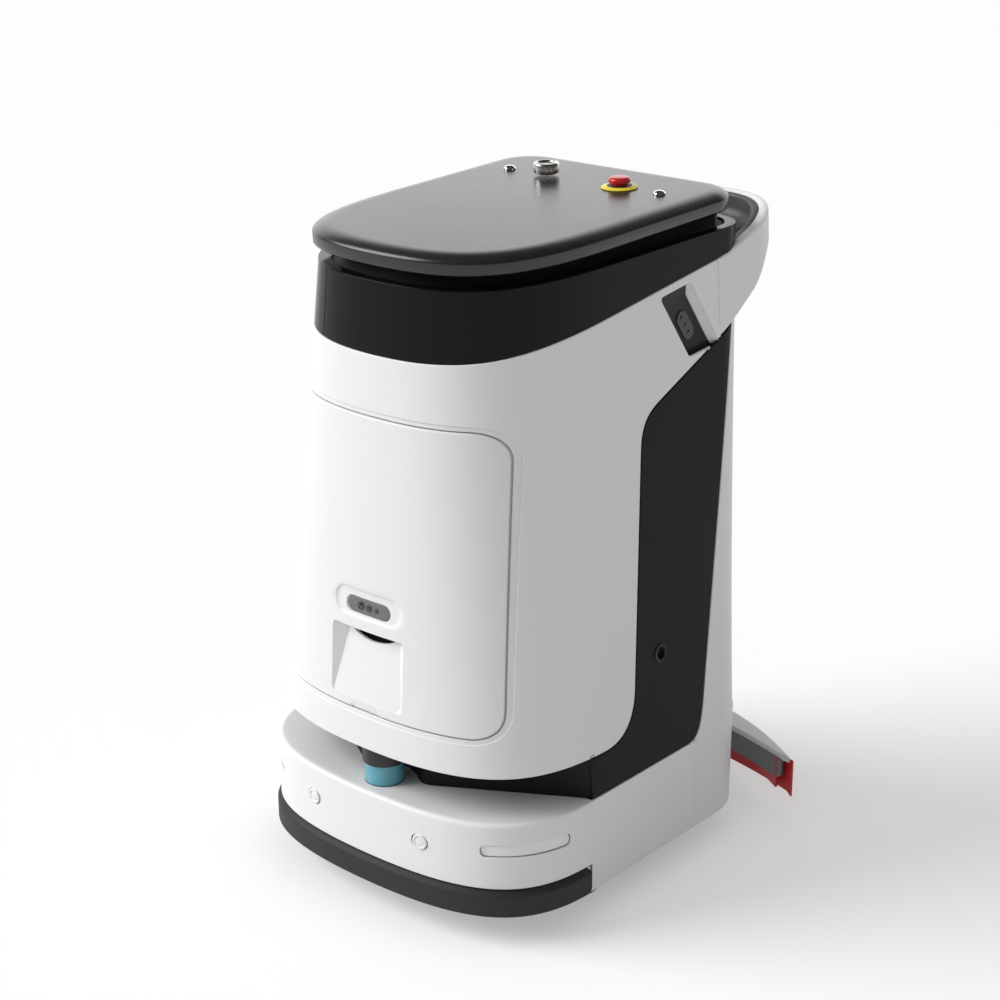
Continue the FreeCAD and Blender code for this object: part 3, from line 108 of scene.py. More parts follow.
# Side cameras: the tray and the wall behind it end at shares of the notch's width
EYE_Y, EYE_TOP, EYE_LOW, EYE_WIDTH, EYE_RISE = 27.0, 829.0, 738.0, 65.0, 10.0
EYE_LEAN, EYE_LIP, EYE_DEPTH, EYE_PILL, EYE_PILL_TALL = 0.63, 0.10, 16.0, 46.0, 23.0
EYE_TRAY, EYE_LENS_GAP = 0.88, 13.0

# Top: bezel, lid and controls
TOP_Z, TOP_TILT = 893.5, math.radians(2.0)
TOP_SLOPE = math.tan(TOP_TILT)
TILT = Matrix.Translation((0, 0, TOP_Z)) @ Matrix.Rotation(TOP_TILT, 4, "X") @ Matrix.Translation((0, 0, -TOP_Z))
GLASS_HALF, BEZEL_INSET, BEZEL_WALL = 98.0, 1.0, 3.0
RIM_WIDE, RIM_THICK = 16.0, 2.5
LID_GAP, LID_THICK, LID_EDGE, LID_CROWN = 19.5, 26.0, 15.0, 26.0
LID_LOW = TOP_Z + LID_GAP
LID_HALF, LID_FLARE, LID_FRONT, LID_SHOULDER = 198.0, 2.0, -305.0, -58.0
LID_REAR, LID_CORNER, LID_FULL = 232.0, 62.0, 0.77
CONTROL_ROW, BOLT_X, BOLT_DIAMETER = 122.0, 133.0, 18.0
POWER_X, POWER_DIAMETER, POWER_HEIGHT = -65.0, 37.0, 19.0
STOP_X, STOP_HEAD, STOP_RING = 65.0, 31.0, 51.0

# Handle
HANDLE_REAR, HANDLE_CORNER, HANDLE_TOP, HANDLE_FOOT = 342.0, 105.0, 913.0, 866.0
HANDLE_CLEAR, HANDLE_WALL, HANDLE_EDGE = 212.0, 13.0, 3.5
LINER_WALL, LINER_SUNK = 12.0, 3.0
LIP_WIDE, LIP_TALL, LIP_THICK = 26.0, 22.0, 2.5

# Squeegee
PLATE_TOP, PLATE_THICK, PLATE_HALF, PLATE_SHORT = 97.0, 9.0, 304.0, 12.0
PLATE_REAR, PLATE_FRONT, PLATE_TIP = 350.0, 304.0, 252.0
BAR_HALF, BAR_TALL, BAR_THICK = 286.0, 33.0, 8.0
BLADE_FOOT, BLADE_THICK, BLADE_HEM, BLADE_FLARE, BLADE_REAR = 28.0, 4.0, 33.0, 10.0, 38.0

# Tyre lugs and brush tufts
ROWS_GROUP, ROWS_SEED = "Rows round a roller", 7
LUG_TALL, LUG_DEEP, LUG_COUNT = 2.6, 7.0, 36
TUFT_FOOT, TUFT_FLARE, TUFT_ROWS, TUFTS, TUFT_TWIST, TUFT_SWAY = 3.0, 1.5, 12, 64, 1.6, 0.05

# Light and camera
KEY_TRAVEL, KEY_ANGLE, KEY_STRENGTH = (0.66, 0.565, -0.55), 40.0, 2.75
FLOOR_SIZE, FLOOR_GREY, FLOOR_GLOW = 80.0, 0.72, 0.32
ROOM_LIGHT, ROOM_DARK, ROOM_BRIGHT = 0.46, 0.06, 1.7
CAMERA_SPOT, CAMERA_TURN = (1.8112, -2.1703, 1.5434), (69.8, 0.0, 40.59)
CAMERA_LENS, CAMERA_SENSOR = 76.06, 36.0


# Styled walls

def base_form(z):
    return dict(half=BASE_HALF, flare=0.0, front=BASE_FRONT, shoulder=SEAM_FRONT, rear=BACK_Y,
                corner=BASE_CORNER, full=BASE_FULL)


def tower_form(z):
    share = (z - SIDE_TOP) / (TOWER_TOP - SIDE_TOP)

    def between(low, high):
        return low + (high - low) * share

    return dict(half=between(BASE_HALF, TOWER_TOP_HALF), flare=between(0.0, TOWER_TOP_FLARE),
                front=between(TOWER_FOOT_FRONT, TOWER_TOP_FRONT),
                shoulder=between(TOWER_FOOT_SHOULDER, TOWER_TOP_SHOULDER), rear=BACK_Y,
                corner=BASE_CORNER + (TOWER_TOP_CORNER - BASE_CORNER) * np.maximum(share, 0.0) ** CORNER_EASE,
                full=TOWER_FULL)


def handle_form(z):
    form = tower_form(z)
    run = form["rear"] - form["corner"] - form["shoulder"]
    form["rear"] = HANDLE_REAR
    form["corner"] = HANDLE_CORNER
    form["flare"] = form["flare"] * (HANDLE_REAR - HANDLE_CORNER - form["shoulder"]) / run
    return form


def lid_form(z):
    return dict(half=LID_HALF, flare=LID_FLARE, front=LID_FRONT, shoulder=LID_SHOULDER, rear=LID_REAR,
                corner=LID_CORNER, full=LID_FULL)


def bezier(poles, t):
    s = 1.0 - t
    weights = (s ** 3, 3 * s * s * t, 3 * s * t * t, t ** 3)
    return sum(w[..., None] * p for w, p in zip(weights, poles))


def points(*columns):
    return np.stack(np.broadcast_arrays(*columns), axis=-1).astype(float)


class Cover:
    """A styled wall. A place on it is a run along the wall from the middle of the front, right positive,
    a height, and an inset from the outer face."""

    def __init__(self, form, middle):
        self.form = form
        self.lengths = [1.0] * 4
        self.total = math.inf
        marks = np.linspace(0.0, 1.0, 65)
        steps = [np.diff(self.place(k + marks * 0.999999, middle), axis=0) for k in range(4)]
        self.lengths = [float(np.linalg.norm(step, axis=1).sum()) for step in steps]
        self.total = sum(self.lengths)

    def place(self, run, z, inset=0.0):
        run, z, inset = [np.asarray(v, float) for v in np.broadcast_arrays(run, z, inset)]
        run = np.where(run > self.total, run - 2 * self.total, run)
        f = {k: np.broadcast_to(np.asarray(v, float), z.shape) for k, v in self.form(z).items()}
        half, front, rear = f["half"] - inset, f["front"] + inset, f["rear"] - inset
        corner = np.maximum(f["corner"] - inset, MIN_CORNER)
        lean = points(f["flare"], f["rear"] - f["corner"] - f["shoulder"])
        lean /= np.linalg.norm(lean, axis=-1, keepdims=True)
        shoulder = points(half, f["shoulder"])
        pull = f["full"] * (f["shoulder"] - front)
        round_front = [points(0.0 * half, front), points(f["full"] * half, front),
                       shoulder - lean * pull[..., None], shoulder]
        wide = half + f["flare"]
        turn = points(wide, rear - corner)
        along = turn - shoulder
        along /= np.linalg.norm(along, axis=-1, keepdims=True)
        quarter = 0.5523 * corner
        end = points(wide - corner, rear)
        bend = [turn, turn + along * quarter[..., None], points(wide - corner + quarter, rear), end]
        left = np.abs(run)
        flat = np.zeros(z.shape + (2,))
        for k, length in enumerate(self.lengths):
            share = np.clip(left / length, 0.0, 1.0)
            part = share[..., None]
            step = [bezier(round_front, share), shoulder + (turn - shoulder) * part,
                    bezier(bend, share), end * (1 - part) + points(0.0 * rear, rear) * part][k]
            here = left >= 0 if k == 0 else left > 0
            flat = np.where(here[..., None], step, flat)
            left = left - length
        flat[..., 0] *= np.where(run < 0, -1.0, 1.0)
        return np.concatenate([flat, z[..., None]], axis=-1)

    def run_at(self, axis, value, z, inset=0.0):
        """Run on the right-hand side where x (axis 0, on the front) or y (axis 1) has a value."""
        value, z = [np.asarray(v, float) for v in np.broadcast_arrays(value, z)]
        low = np.zeros(z.shape)
        high = np.full(z.shape, self.lengths[0] if axis == 0 else self.total - self.lengths[3])
        for step in range(44):
            middle = (low + high) / 2
            under = self.place(middle, z, inset)[..., axis] < value
            low = np.where(under, middle, low)
            high = np.where(under, high, middle)
        return (low + high) / 2


base = Cover(base_form, DECK_Z / 2)
tower = Cover(tower_form, (SHELL_FOOT + RIM_FRONT) / 2)
grip = Cover(handle_form, HANDLE_FOOT)
lid_wall = Cover(lid_form, TOP_Z)
rear_wall = Cover(lambda z: tower_form(np.maximum(z, SIDE_TOP)), (BASE_FOOT + RIM_FRONT) / 2)


def rim_z(y):
    return RIM_FRONT + RIM_RISE * (y - TOWER_TOP_FRONT)


def top_z(y):
    return TOP_Z + TOP_SLOPE * y


# Outlines in a cover's own plane

def trace(start, steps, gap=3.0):
    """Polyline along straight steps (a point) and curved ones (two controls and an end)."""
    path = [np.array([start], float)]
    here = np.array(start, float)
    for step in steps:
        if isinstance(step[0], tuple):
            poles = [here] + [np.array(p, float) for p in step]
            length = sum(np.linalg.norm(b - a) for a, b in zip(poles, poles[1:]))
        else:
            poles = [here, np.array(step, float)]
            length = np.linalg.norm(poles[1] - poles[0])
        marks = np.linspace(0.0, 1.0, max(2, int(length / gap) + 1))[1:]
        if len(poles) == 4:
            path.append(bezier(poles, marks))
        else:
            path.append(poles[0] + (poles[1] - poles[0]) * marks[:, None])
        here = poles[-1]
    return np.concatenate(path)


def clean_loop(loop, gap=0.05):
    keep = np.linalg.norm(loop - np.roll(loop, 1, axis=0), axis=1) > gap
    return loop[keep]


def area(loop):
    x, y = loop[:, 0], loop[:, 1]
    return 0.5 * float(np.sum(x * np.roll(y, -1) - np.roll(x, -1) * y))


def turned_way(loop, counter_clockwise):
    return loop if (area(loop) > 0) == counter_clockwise else loop[::-1]


def shift_loop(loop, by):
    """Closed loop moved to its left-hand side."""
    before = loop - np.roll(loop, 1, axis=0)
    after = np.roll(loop, -1, axis=0) - loop
    before /= np.linalg.norm(before, axis=1, keepdims=True)
    after /= np.linalg.norm(after, axis=1, keepdims=True)
    normal = points(-before[:, 1] - after[:, 1], before[:, 0] + after[:, 0])
    normal /= np.maximum(np.linalg.norm(normal, axis=1, keepdims=True), 1e-6)
    spread = normal[:, 0] * -after[:, 1] + normal[:, 1] * after[:, 0]
    return loop + normal * (by / np.maximum(spread, 0.4))[:, None]


def inside(spots, loops):
    odd = np.zeros(len(spots), bool)
    for loop in loops:
        for a, b in zip(loop, np.roll(loop, -1, axis=0)):
            crosses = (a[1] > spots[:, 1]) != (b[1] > spots[:, 1])
            if crosses.any():
                at = a[0] + (spots[:, 1] - a[1]) * (b[0] - a[0]) / (b[1] - a[1] if b[1] != a[1] else 1.0)
                odd ^= crosses & (spots[:, 0] < at)
    return odd


def bent(corners, radii, gap=2.0):
    """Open path through corners, with the inner ones rounded."""
    corners = [np.array(c, float) for c in corners]
    steps = []
    for before, here, after, radius in zip(corners, corners[1:], corners[2:], radii):
        a = (before - here) / np.linalg.norm(before - here)
        b = (after - here) / np.linalg.norm(after - here)
        steps.append(tuple(here + a * radius))
        steps.append(tuple(tuple(here + way * radius * share) for way, share in ((a, 0.45), (b, 0.45), (b, 1.0))))
    return trace(corners[0], steps + [tuple(corners[-1])], gap)


def rounded(corners, radius, gap=2.0):
    """Closed path with round corners."""
    middle = (np.array(corners[0], float) + np.array(corners[-1], float)) / 2
    return bent([middle] + list(corners) + [middle], [radius] * len(corners), gap)[:-1]


def stadium(centre, length, tall, gap=1.2):
    half, end = length / 2 - tall / 2, tall / 2
    turn = np.linspace(-90, 90, 25)
    right = points(half + end * np.cos(np.radians(turn)), end * np.sin(np.radians(turn)))
    loop = np.concatenate([right, -right])
    closed = np.concatenate([loop, loop[:1]])
    path = np.concatenate([trace(p, [tuple(q)], gap)[:-1] for p, q in zip(closed, closed[1:])])
    return clean_loop(path + np.array(centre))


# Meshes

def piece(name, shape, material, body, replaced=(), sharp=None):
    """Object made of a shape in millimetres, riding on a body and standing for the nodes it replaces."""
    mesh = bpy.data.meshes.new(name)
    mesh.from_pydata((shape.all_verts() * MM).tolist(), [], [[int(i) for i in f] for f in shape.faces])
    return finished(name, mesh, material, body, replaced, sharp)


def finished(name, mesh, material, body, replaced, sharp):
    build = bmesh.new()
    build.from_mesh(mesh)
    bmesh.ops.remove_doubles(build, verts=build.verts, dist=0.004 * MM)
    bmesh.ops.recalc_face_normals(build, faces=build.faces)
    build.to_mesh(mesh)
    build.free()
    mesh.validate()
    mesh.polygons.foreach_set("use_smooth", [True] * len(mesh.polygons))
    if sharp:
        mesh.set_sharp_from_angle(angle=math.radians(sharp))
    mesh.materials.clear()
    mesh.materials.append(material)
    obj = bpy.data.objects.new(name, mesh)
    bpy.context.scene.collection.objects.link(obj)
    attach(obj, body)
    if replaced:
        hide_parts(*replaced)
    return obj


BODY_OF = {node: body for body, nodes in frame["record"]["behaviour"]["bodies"].items() for node in nodes}


def covered(node, material, sharp=28):
    """The frame's own solid with joined facets, soft curved faces and a finish."""
    mesh = frame["nodes"][node].data.copy()
    mesh.transform(frame["nodes"][node].matrix_world)
    return finished(node + "_finish", mesh, material, BODY_OF[node], [node], sharp)


class Shape:
    """Vertices and faces that are put together before they become a piece."""

    def __init__(self):
        self.verts, self.faces, self.count = [], [], 0

    def add(self, verts, faces=()):
        start = self.count
        self.verts.append(np.asarray(verts, float).reshape(-1, 3))
        self.count += len(self.verts[-1])
        self.faces += [tuple(i + start for i in f) for f in faces]
        return start

    def bridge(self, a, b, size, closed=True):
        """Quads between two rows of equal size that start at indices a and b."""
        for i in range(size if closed else size - 1):
            j = (i + 1) % size
            self.faces.append((a + i, a + j, b + j, b + i))

    def grid(self, rows, closed=False):
        """Quads over rows of points of equal length."""
        starts = [self.add(row) for row in rows]
        for a, b in zip(starts, starts[1:]):
            self.bridge(a, b, len(rows[0]), closed)
        return starts

    def fan(self, start, size, flip=False):
        ring = list(range(start, start + size))
        self.faces.append(tuple(ring[::-1] if flip else ring))

    def all_verts(self):
        return np.concatenate(self.verts)

    def move(self, matrix):
        turn, shift = np.array(matrix.to_3x3()), np.array(matrix.translation)
        self.verts = [v @ turn.T + shift for v in self.verts]


def skin(place, loops, radius, depth, step=MESH_STEP, guides=(), rows=()):
    """Plate on a surface inside loops of (run, height), with rounded edges and an inner face.
    The rounding is a size, or a list with a size or a function of the points for each loop.
    Guides are further loops that the mesh follows; rows are heights with a close row of points."""
    shape = Shape()
    margin = 0.8
    loops = [turned_way(clean_loop(loop), k == 0) for k, loop in enumerate(loops)]
    sizes = radius if isinstance(radius, list) else [radius] * len(loops)
    sizes = [np.zeros(len(loop)) + (size(loop) if callable(size) else size) for loop, size in zip(loops, sizes)]
    edges = [shift_loop(loop, size + margin) for loop, size in zip(loops, sizes)]
    marks = list(edges) + [np.asarray(g, float) for g in guides]
    low, high = np.min(edges[0], axis=0), np.max(edges[0], axis=0)
    across = np.arange(low[0] + step / 2, high[0], step)
    up = np.arange(low[1] + step / 2, high[1], step)
    tree = kdtree.KDTree(sum(len(m) for m in marks))
    for k, spot in enumerate(np.concatenate(marks)):
        tree.insert((spot[0], spot[1], 0.0), k)
    tree.balance()

    def clear(spots, gap):
        spots = spots[inside(spots, edges)]
        return spots[[tree.find((p[0], p[1], 0.0))[2] > gap for p in spots]]

    field = points(*np.meshgrid(across, up)).reshape(-1, 2)
    field[:, 0] += (np.round((field[:, 1] - low[1]) / step) % 2) * step / 2
    for height in rows:
        field = field[np.abs(field[:, 1] - height) > 0.45 * step]
    field = [clear(field, 0.45 * step)] + [clear(points(across, height), 0.5) for height in rows]
    flat = np.concatenate(marks + field)
    lines, start = [], 0
    for mark in marks:
        lines += [(start + i, start + (i + 1) % len(mark)) for i in range(len(mark))]
        start += len(mark)
    spots, _, tris = geometry.delaunay_2d_cdt([Vector(p) for p in flat], lines, [], 0, 1e-5)[:3]
    spots = np.array([(p.x, p.y) for p in spots])
    tris = np.array(tris)
    tris = tris[inside(spots[tris].mean(axis=1), edges)]
    shape.add(place(spots[:, 0], spots[:, 1], 0.0), tris)
    shape.add(place(spots[:, 0], spots[:, 1], depth), tris[:, ::-1])
    for loop, size in zip(loops, sizes):
        rim = [(size + margin, 0.0)]
        for turn in np.linspace(0, math.pi / 2, EDGE_STEPS + 1):
            rim.append((size * (1 - math.sin(turn)), size * (1 - math.cos(turn))))
        rim += [(0.0 * size, depth), (size + margin, depth)]
        ring = [(shift_loop(loop, off), inset) for off, inset in rim]
        shape.grid([place(r[:, 0], r[:, 1], inset)[::-1] for r, inset in ring], closed=True)
    return shape


def mirrored(shape):
    """The same shape on the other side."""
    other = Shape()
    other.add(shape.all_verts() * np.array([-1.0, 1.0, 1.0]), [f[::-1] for f in shape.faces])
    return other


def band(place, runs, profile, closed=False):
    """Profile of (inset, height) swept along runs, closed at its ends or into a ring with flat caps."""
    shape = Shape()
    rows = [place(runs, np.full(len(runs), z), np.full(len(runs), inset)) for inset, z in profile]
    starts = shape.grid(rows, closed)
    if closed:
        shape.fan(starts[0], len(runs))
        shape.fan(starts[-1], len(runs), flip=True)
    else:
        shape.bridge(starts[-1], starts[0], len(runs), False)
        shape.faces.append(tuple(starts))
        shape.faces.append(tuple(s + len(runs) - 1 for s in reversed(starts)))
    return shape


def lathe(profile, count):
    """Profile of (radius, height) turned about the vertical axis."""
    shape = Shape()
    turn = np.linspace(0, 2 * math.pi, count, endpoint=False)
    shape.grid([points(r * np.cos(turn), r * np.sin(turn), z) for r, z in profile], closed=True)
    return shape


def facing(spot, outward):
    """Matrix that stands a turned part on a spot, with its axis outward."""
    return Matrix.Translation(Vector(spot)) @ Vector(outward).to_track_quat("Z", "Y").to_matrix().to_4x4()


# Finishes

GRAIN_SIZE = 1600.0


class Socket:
    """A node socket that can be used in expressions."""

    def __init__(self, tree, socket):
        self.tree, self.socket = tree, socket

    def math(self, operation, a, b):
        return self.node("ShaderNodeMath", {"operation": operation}, {0: a, 1: b})

    def node(self, kind, settings, inputs, output=0):
        made = self.tree.nodes.new(kind)
        for key, value in settings.items():
            setattr(made, key, value)
        for key, value in inputs.items():
            if isinstance(value, Socket):
                self.tree.links.new(value.socket, made.inputs[key])
            else:
                made.inputs[key].default_value = value
        return Socket(self.tree, made.outputs[output])

    def __add__(self, other):
        return self.math("ADD", self, other)

    def __radd__(self, other):
        return self.math("ADD", other, self)

    def __sub__(self, other):
        return self.math("SUBTRACT", self, other)

    def __rsub__(self, other):
        return self.math("SUBTRACT", other, self)

    def __mul__(self, other):
        return self.math("MULTIPLY", self, other)

    def __rmul__(self, other):
        return self.math("MULTIPLY", other, self)


def finish_base(name):
    """New material: its shader node and a socket with the piece's own coordinates."""
    material = bpy.data.materials.new(name)
    material.use_nodes = True
    tree = material.node_tree
    shader = tree.nodes["Principled BSDF"]
    coords = tree.nodes.new("ShaderNodeTexCoord")
    return material, shader, Socket(tree, coords.outputs["Object"])


def moulded(name, colour, roughness, grain=0.0, mottle=0.03, coat=0.0, metallic=0.0, specular=0.5):
    """Moulded or cast surface: slight colour drift, uneven sheen and a fine grain."""
    material, shader, place = finish_base(name)
    tree = material.node_tree
    drift = place.node("ShaderNodeTexNoise", {}, {"Vector": place, "Scale": 5.0, "Detail": 4.0, "Roughness": 0.6})
    speck = place.node("ShaderNodeTexNoise", {}, {"Vector": place, "Scale": 260.0, "Detail": 2.0})
    shade = (drift - 0.5) * (2 * mottle) + (speck - 0.5) * mottle
    tone = place.node("ShaderNodeMix", {"data_type": "RGBA", "blend_type": "MIX"}, {
        0: shade + 0.5, 6: [c * (1 - mottle) for c in colour[:3]] + [1.0],
        7: [min(1.0, c * (1 + mottle)) for c in colour[:3]] + [1.0]}, output=2)
    tree.links.new(tone.socket, shader.inputs["Base Color"])
    sheen = roughness + (drift - 0.5) * (0.2 * roughness) + (speck - 0.5) * (0.1 * roughness)
    tree.links.new(sheen.socket, shader.inputs["Roughness"])
    shader.inputs["Metallic"].default_value = metallic
    shader.inputs["Specular IOR Level"].default_value = specular
    shader.inputs["Coat Weight"].default_value = coat
    shader.inputs["Coat Roughness"].default_value = 0.04
    if grain:
        pores = place.node("ShaderNodeTexNoise", {}, {"Vector": place, "Scale": GRAIN_SIZE, "Detail": 3.0})
        bump = place.node("ShaderNodeBump", {}, {"Strength": grain, "Distance": 0.0004, "Height": pores})
        tree.links.new(bump.socket, shader.inputs["Normal"])
    return material


def colour_prop(name, description, default):
    return bpy.props.FloatVectorProperty(name=name, description=description, default=default, size=3,
                                         subtype="COLOR", min=0.0, max=1.0)


class RobotFinish(bpy.types.PropertyGroup):
    """Colours of the robot's covers."""

    white: colour_prop("White covers", "Satin white of the tower and base", (0.80, 0.80, 0.795))
    black: colour_prop("Side panels", "Fine-grained black of the side panels", (0.012, 0.012, 0.0125))
    gloss: colour_prop("Display band", "Polished black of the bezel and its glass", (0.006, 0.006, 0.007))
    charcoal: colour_prop("Lid", "Satin charcoal of the lid", (0.018, 0.018, 0.019))
    rubber: colour_prop("Bumper", "Soft black of the bumper", (0.03, 0.03, 0.031))
    liner: colour_prop("Handle liner", "Dark grey inside the handle", (0.07, 0.071, 0.073))


class RobotSizes(bpy.types.PropertyGroup):
    """Sizes of edges that show in the covers."""

    edge: bpy.props.FloatProperty(name="Cover edge", description="Rounding of the covers' edges",
                                  default=1.6 * MM, min=0.2 * MM, max=3.0 * MM, precision=4, unit="LENGTH")
    hatch_edge: bpy.props.FloatProperty(name="Hatch edge", description="Rounding along the hatch",
                                        default=2.4 * MM, min=0.2 * MM, max=3.5 * MM, precision=4, unit="LENGTH")


FINISHES = {}
SLOTS = {
    "white": "white_shell", "black": "side_black", "gloss": "gloss_black", "glass": "gloss_black",
    "charcoal": "lid_charcoal", "neck": "dark_plastic", "dark": "dark_plastic", "dark_grey": "grey_plastic",
    "light_grey": "light_grey", "rubber": "black_rubber", "tyre": "tyre_rubber", "red_rubber": "red_rubber",
    "liner": "grey_plastic", "steel": "steel", "chrome": "chrome", "alloy": "alloy", "red": "red_plastic",
    "yellow": "yellow_plastic", "teal": "teal_window", "lidar": "gloss_black", "window": "lens", "eye": "lens",
    "lens": "lens", "diffuser": "diffuser", "paint": "frame_paint", "tank": "tank_plastic", "fibre": "brush_fibre"}


def finish(name):
    """Finish by name, made when it is first asked for."""
    if name in FINISHES:
        return FINISHES[name]
    tint = bpy.context.scene.robot_finish
    makers = {
        "white": lambda: moulded("Satin white", tint.white, 0.42, grain=0.04, mottle=0.012, specular=0.45),
        "black": lambda: moulded("Grained black", tint.black, 0.5, grain=0.12, mottle=0.08, specular=0.12),
        "gloss": lambda: moulded("Polished black", tint.gloss, 0.10, mottle=0.02, specular=0.12),
        "glass": lambda: moulded("Display glass", tint.gloss, 0.08, mottle=0.02, specular=0.12),
        "charcoal": lambda: moulded("Satin charcoal", tint.charcoal, 0.27, grain=0.008, mottle=0.04),
        "neck": lambda: moulded("Dull black", (0.010, 0.010, 0.010), 0.55, mottle=0.1, specular=0.2),
        "dark": lambda: moulded("Dark plastic", (0.02, 0.02, 0.021), 0.5, grain=0.1, mottle=0.08, specular=0.25),
        "dark_grey": lambda: moulded("Dark grey plastic", (0.18, 0.18, 0.182), 0.5, grain=0.08, mottle=0.06),
        "light_grey": lambda: moulded("Light grey plastic", (0.70, 0.70, 0.705), 0.45, grain=0.05, mottle=0.03),
        "rubber": lambda: moulded("Bumper rubber", tint.rubber, 0.58, grain=0.1, mottle=0.1, specular=0.25),
        "tyre": lambda: moulded("Tyre rubber", (0.03, 0.03, 0.03), 0.75, grain=0.2, mottle=0.15),
        "red_rubber": lambda: moulded("Red rubber", (0.60, 0.022, 0.032), 0.5, grain=0.05, mottle=0.06),
        "liner": lambda: moulded("Liner grey", tint.liner, 0.45, grain=0.03, mottle=0.05),
        "steel": lambda: moulded("Brushed steel", (0.62, 0.61, 0.59), 0.24, mottle=0.03, metallic=1.0),
        "chrome": lambda: moulded("Chrome", (0.82, 0.82, 0.82), 0.07, mottle=0.01, metallic=1.0),
        "alloy": lambda: moulded("Cast alloy", (0.5, 0.5, 0.5), 0.45, grain=0.15, mottle=0.05, metallic=0.8),
        "red": lambda: moulded("Red plastic", (0.55, 0.012, 0.014), 0.3, mottle=0.04, coat=0.2),
        "yellow": lambda: moulded("Yellow plastic", (0.80, 0.66, 0.05), 0.4, mottle=0.04),
        "teal": lambda: moulded("Teal window", (0.10, 0.36, 0.45), 0.10, mottle=0.05, coat=0.3),
        "lidar": lambda: moulded("Lidar cap", (0.012, 0.012, 0.013), 0.34, mottle=0.06),
        "window": lambda: moulded("Camera window", (0.145, 0.145, 0.15), 0.32, mottle=0.04),
        "eye": lambda: moulded("Side camera window", (0.03, 0.03, 0.031), 0.3, mottle=0.04),
        "lens": lambda: moulded("Lens", (0.01, 0.011, 0.014), 0.05, mottle=0.02, coat=0.8),
        "diffuser": lambda: moulded("Light strip", (0.86, 0.86, 0.855), 0.35, mottle=0.01),
        "paint": lambda: moulded("Frame paint", (0.08, 0.082, 0.085), 0.5, grain=0.2, mottle=0.05),
        "tank": lambda: moulded("Tank plastic", (0.55, 0.58, 0.6), 0.35, grain=0.05, mottle=0.03),
        "fibre": lambda: moulded("Brush fibre", (0.09, 0.11, 0.16), 0.7, grain=0.3, mottle=0.2),
    }
    FINISHES[name] = makers[name]()
    FINISHES[name]["slot"] = SLOTS[name]
    return FINISHES[name]


class RobotOperator:
    """Shared settings of the robot's operators."""

    bl_options = {"REGISTER", "UNDO"}

    def edge(self, name="edge"):
        """Rounding in millimetres."""
        size = getattr(bpy.context.scene.robot_sizes, name) / MM
        if size >= WALL:
            raise ValueError(f"{name} is rounder than the covers are thick")
        return size


# Tower

def side_run(cover, path):
    """Runs of a path of (y, z) points on the right-hand side."""
    path = np.asarray(path, float)
    return points(cover.run_at(1, path[:, 0], path[:, 1]), path[:, 1])


def slope_line(cover, slope, run0, run1, gap=3.0):
    """Points of (run, z) along a sloping edge."""
    runs = np.linspace(run0, run1, max(2, int(abs(run1 - run0) / gap)))
    z = np.full(runs.shape, slope(0.0))
    for step in range(12):
        z = slope(cover.place(runs, z)[:, 1])
    return points(runs, z)


def left_of(path):
    """A path on the right, mirrored to the left and walked backwards."""
    return (np.asarray(path) * np.array([-1.0, 1.0]))[::-1]


def round_back(path, cover):
    """The same, with runs that go on past the middle of the rear wall."""
    return points(2 * cover.total - path[:, 0], path[:, 1])[::-1]


def shell_curve():
    """Lower and rear edge of the shell and its arm, seen from the side."""
    return trace((SHELL_HEEL, SHELL_FOOT), [
        ((SHELL_HEEL + 42, SHELL_FOOT), (SHELL_KNEE[0] - 5, SHELL_KNEE[1] - 40), SHELL_KNEE),
        SHELL_WAIST,
        ((SHELL_WAIST[0] + 4, SHELL_WAIST[1] + 34), (ARM_START[0] - 26, ARM_START[1] - 11), ARM_START),
        (ARM_SEAM - FINE_SEAM / 2, ARM_LOW)])


def handle_low_curve():
    """Lower edge of the handle, seen from the side."""
    bend = ARM_SEAM + 80
    return trace((ARM_SEAM + FINE_SEAM / 2, ARM_LOW), [
        ((ARM_SEAM + 30, ARM_LOW + 30 * ARM_RISE), (bend - 25, ARM_LOW + 32), (bend, ARM_LOW + 50)),
        ((bend + 25, ARM_LOW + 68), (HANDLE_REAR - 70, HANDLE_FOOT - 6), (HANDLE_REAR - 30, HANDLE_FOOT)),
        (HANDLE_REAR - 0.2, HANDLE_FOOT + 1.2)])


def handle_top_curve():
    """Upper edge of the handle, seen from the side."""
    rim = rim_z(ARM_SEAM)
    return trace((ARM_SEAM + FINE_SEAM / 2, rim), [
        ((ARM_SEAM + 52, rim + 8), (HANDLE_REAR - 72, HANDLE_TOP - 5), (HANDLE_REAR - 0.2, HANDLE_TOP))])


def eye_corners():
    """Slanted notch of the side camera, seen from the side, clockwise from its front top."""
    lean = EYE_LEAN * (EYE_TOP - EYE_LOW)
    front_low = np.array([EYE_Y + lean, EYE_LOW])
    rear_top = np.array([EYE_Y + EYE_WIDTH, EYE_TOP + EYE_RISE])

    def on_arm(start, way):
        above = start[1] - ARM_START[1] - ARM_RISE * (start[0] - ARM_START[0])
        return start + way * above / (ARM_RISE * way[0] - way[1])

    return [np.array([EYE_Y, EYE_TOP]), rear_top, on_arm(rear_top, np.array([EYE_LEAN, -1.0])),
            on_arm(front_low, np.array([1.0, EYE_LIP])), front_low]


